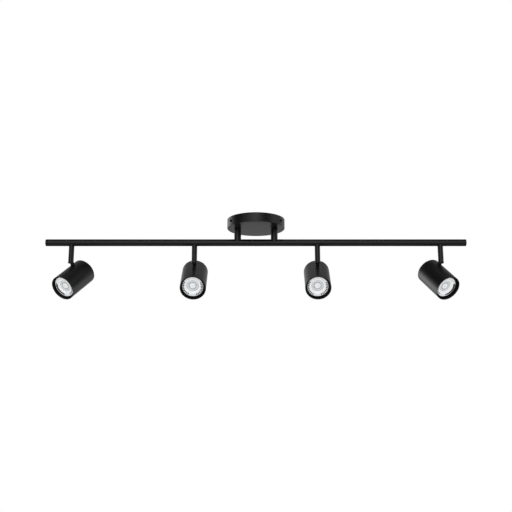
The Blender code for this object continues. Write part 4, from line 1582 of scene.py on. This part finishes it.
    def build(self) -> None:
        """Builds the head from its pivot forwards."""
        self.make_tongue()
        self.make_shell()
        self.make_rear_cap()
        Lamp(self.number, self.body, self.place, self.clip_arc).build()
        self.make_ring()


# Studio


@dataclass(frozen=True)
class Glow:
    """A soft source in the studio's surround, aimed at the fixture.

    Its azimuth is in degrees from the camera's side towards +X, its elevation in degrees above the horizon.
    """

    azimuth: float
    elevation: float
    strength: float
    tightness: float = 14.0

    @property
    def direction(self) -> Colour:
        """The way to the source, as a unit vector."""
        around, above = math.radians(self.azimuth), math.radians(self.elevation)
        return (math.sin(around) * math.cos(above), -math.cos(around) * math.cos(above), math.sin(above))


@dataclass
class Studio:
    """The camera, a pale floor one storey down and the soft light around."""

    camera_place: Colour = (0.00015, -1.7693, -0.4997)
    camera_pitch: float = 13.321
    camera_range: float = 100.0
    lens: float = 58.929
    floor_drop: float = 2.4
    floor_radius: float = 10.0
    floor_depth: float = 0.05
    floor_colour: Colour = (0.86, 0.86, 0.86)
    floor_shade: Colour = (0.82, 0.82, 0.82)
    floor_clouds: float = 0.6
    floor_roughness: float = 0.7
    floor_lift: Colour = (0.50, 0.50, 0.50)
    backdrop: float = 1.0
    glows: tuple[Glow, ...] = (
        Glow(0.0, 0.0, 0.87),
        Glow(0.0, 25.0, 1.09),
        Glow(-35.0, 10.0, 0.55),
        Glow(80.0, 5.0, 0.84),
        Glow(-70.0, 35.0, 0.11),
        Glow(70.0, 35.0, 0.37),
        Glow(-130.0, 0.0, 2.80),
        Glow(130.0, 0.0, 1.14),
        Glow(180.0, 0.0, 0.73),
        Glow(180.0, 40.0, 1.37),
        Glow(0.0, 90.0, 0.20, 6.0),
    )

    def make_camera(self) -> None:
        """Puts the camera below and in front of the fixture, looking up at it."""
        camera = bpy.data.objects.new("camera", bpy.data.cameras.new("camera"))
        camera.data.lens = self.lens
        camera.data.clip_end = self.camera_range
        camera.location = self.camera_place
        camera.rotation_euler = (math.radians(90.0 + self.camera_pitch), 0.0, 0.0)
        bpy.context.scene.collection.objects.link(camera)
        bpy.context.scene.camera = camera

    def make_floor(self) -> None:
        """A wide round pale floor."""
        top = -self.floor_drop
        floor = rod("floor", self.floor_radius, top - self.floor_depth, top, sides=192)
        material = bpy.data.materials.new("pale_floor")
        material.use_nodes = True
        graph = Graph(material.node_tree)
        clouds = graph.noise(self.floor_clouds)
        seen = graph.node("ShaderNodeLightPath", output="Is Camera Ray")
        graph.surface({
            "Base Color": graph.blend(self.floor_colour, self.floor_shade, clouds),
            "Roughness": self.floor_roughness,
            "Emission Color": graph.blend(BLACK, self.floor_lift, seen),
            "Emission Strength": 1.0,
        })
        floor.data.materials.append(material)

    def make_light(self) -> None:
        """Lights the scene from a white surround, brighter where its soft sources are."""
        world = bpy.data.worlds.new("studio")
        world.use_nodes = True
        bpy.context.scene.world = world
        graph = Graph(world.node_tree)
        where = graph.node("ShaderNodeTexCoord", output="Generated")
        total: Signal | float = 0.0
        for glow in self.glows:
            facing = graph.vector("DOT_PRODUCT", where, glow.direction, output="Value")
            total = facing.at_least(0.0) ** glow.tightness * glow.strength + total
        seen = graph.node("ShaderNodeLightPath", output="Is Camera Ray")
        strength = total * (1 - seen) + seen * self.backdrop
        light = graph.node("ShaderNodeBackground", None, {"Color": (1.0,) * 4, "Strength": strength})
        graph.node("ShaderNodeOutputWorld", None, {"Surface": light})
        bpy.context.scene.view_settings.view_transform = "Standard"

    def build(self) -> None:
        """Sets up the studio."""
        self.make_camera()
        self.make_floor()
        self.make_light()


def main() -> None:
    """Builds the studio and the fixture in order."""
    logging.basicConfig(level=logging.INFO, format="%(name)s: %(message)s")
    Studio().build()
    stems = [Stem(number) for number in (1, 2, 3, 4)]
    posts = [Post(word) for word in ("left", "right")]
    Canopy().build()
    Bar().build([stem.anchor.x for stem in stems], [post.x for post in posts])
    for assembly in (*posts, *stems):
        assembly.build()
    clip_arcs = {1: (160.0, 243.0), 4: (20.0, -63.0)}
    for stem in stems:
        Head(stem.number, clip_arcs.get(stem.number)).build()


if __name__ == "__main__":
    main()
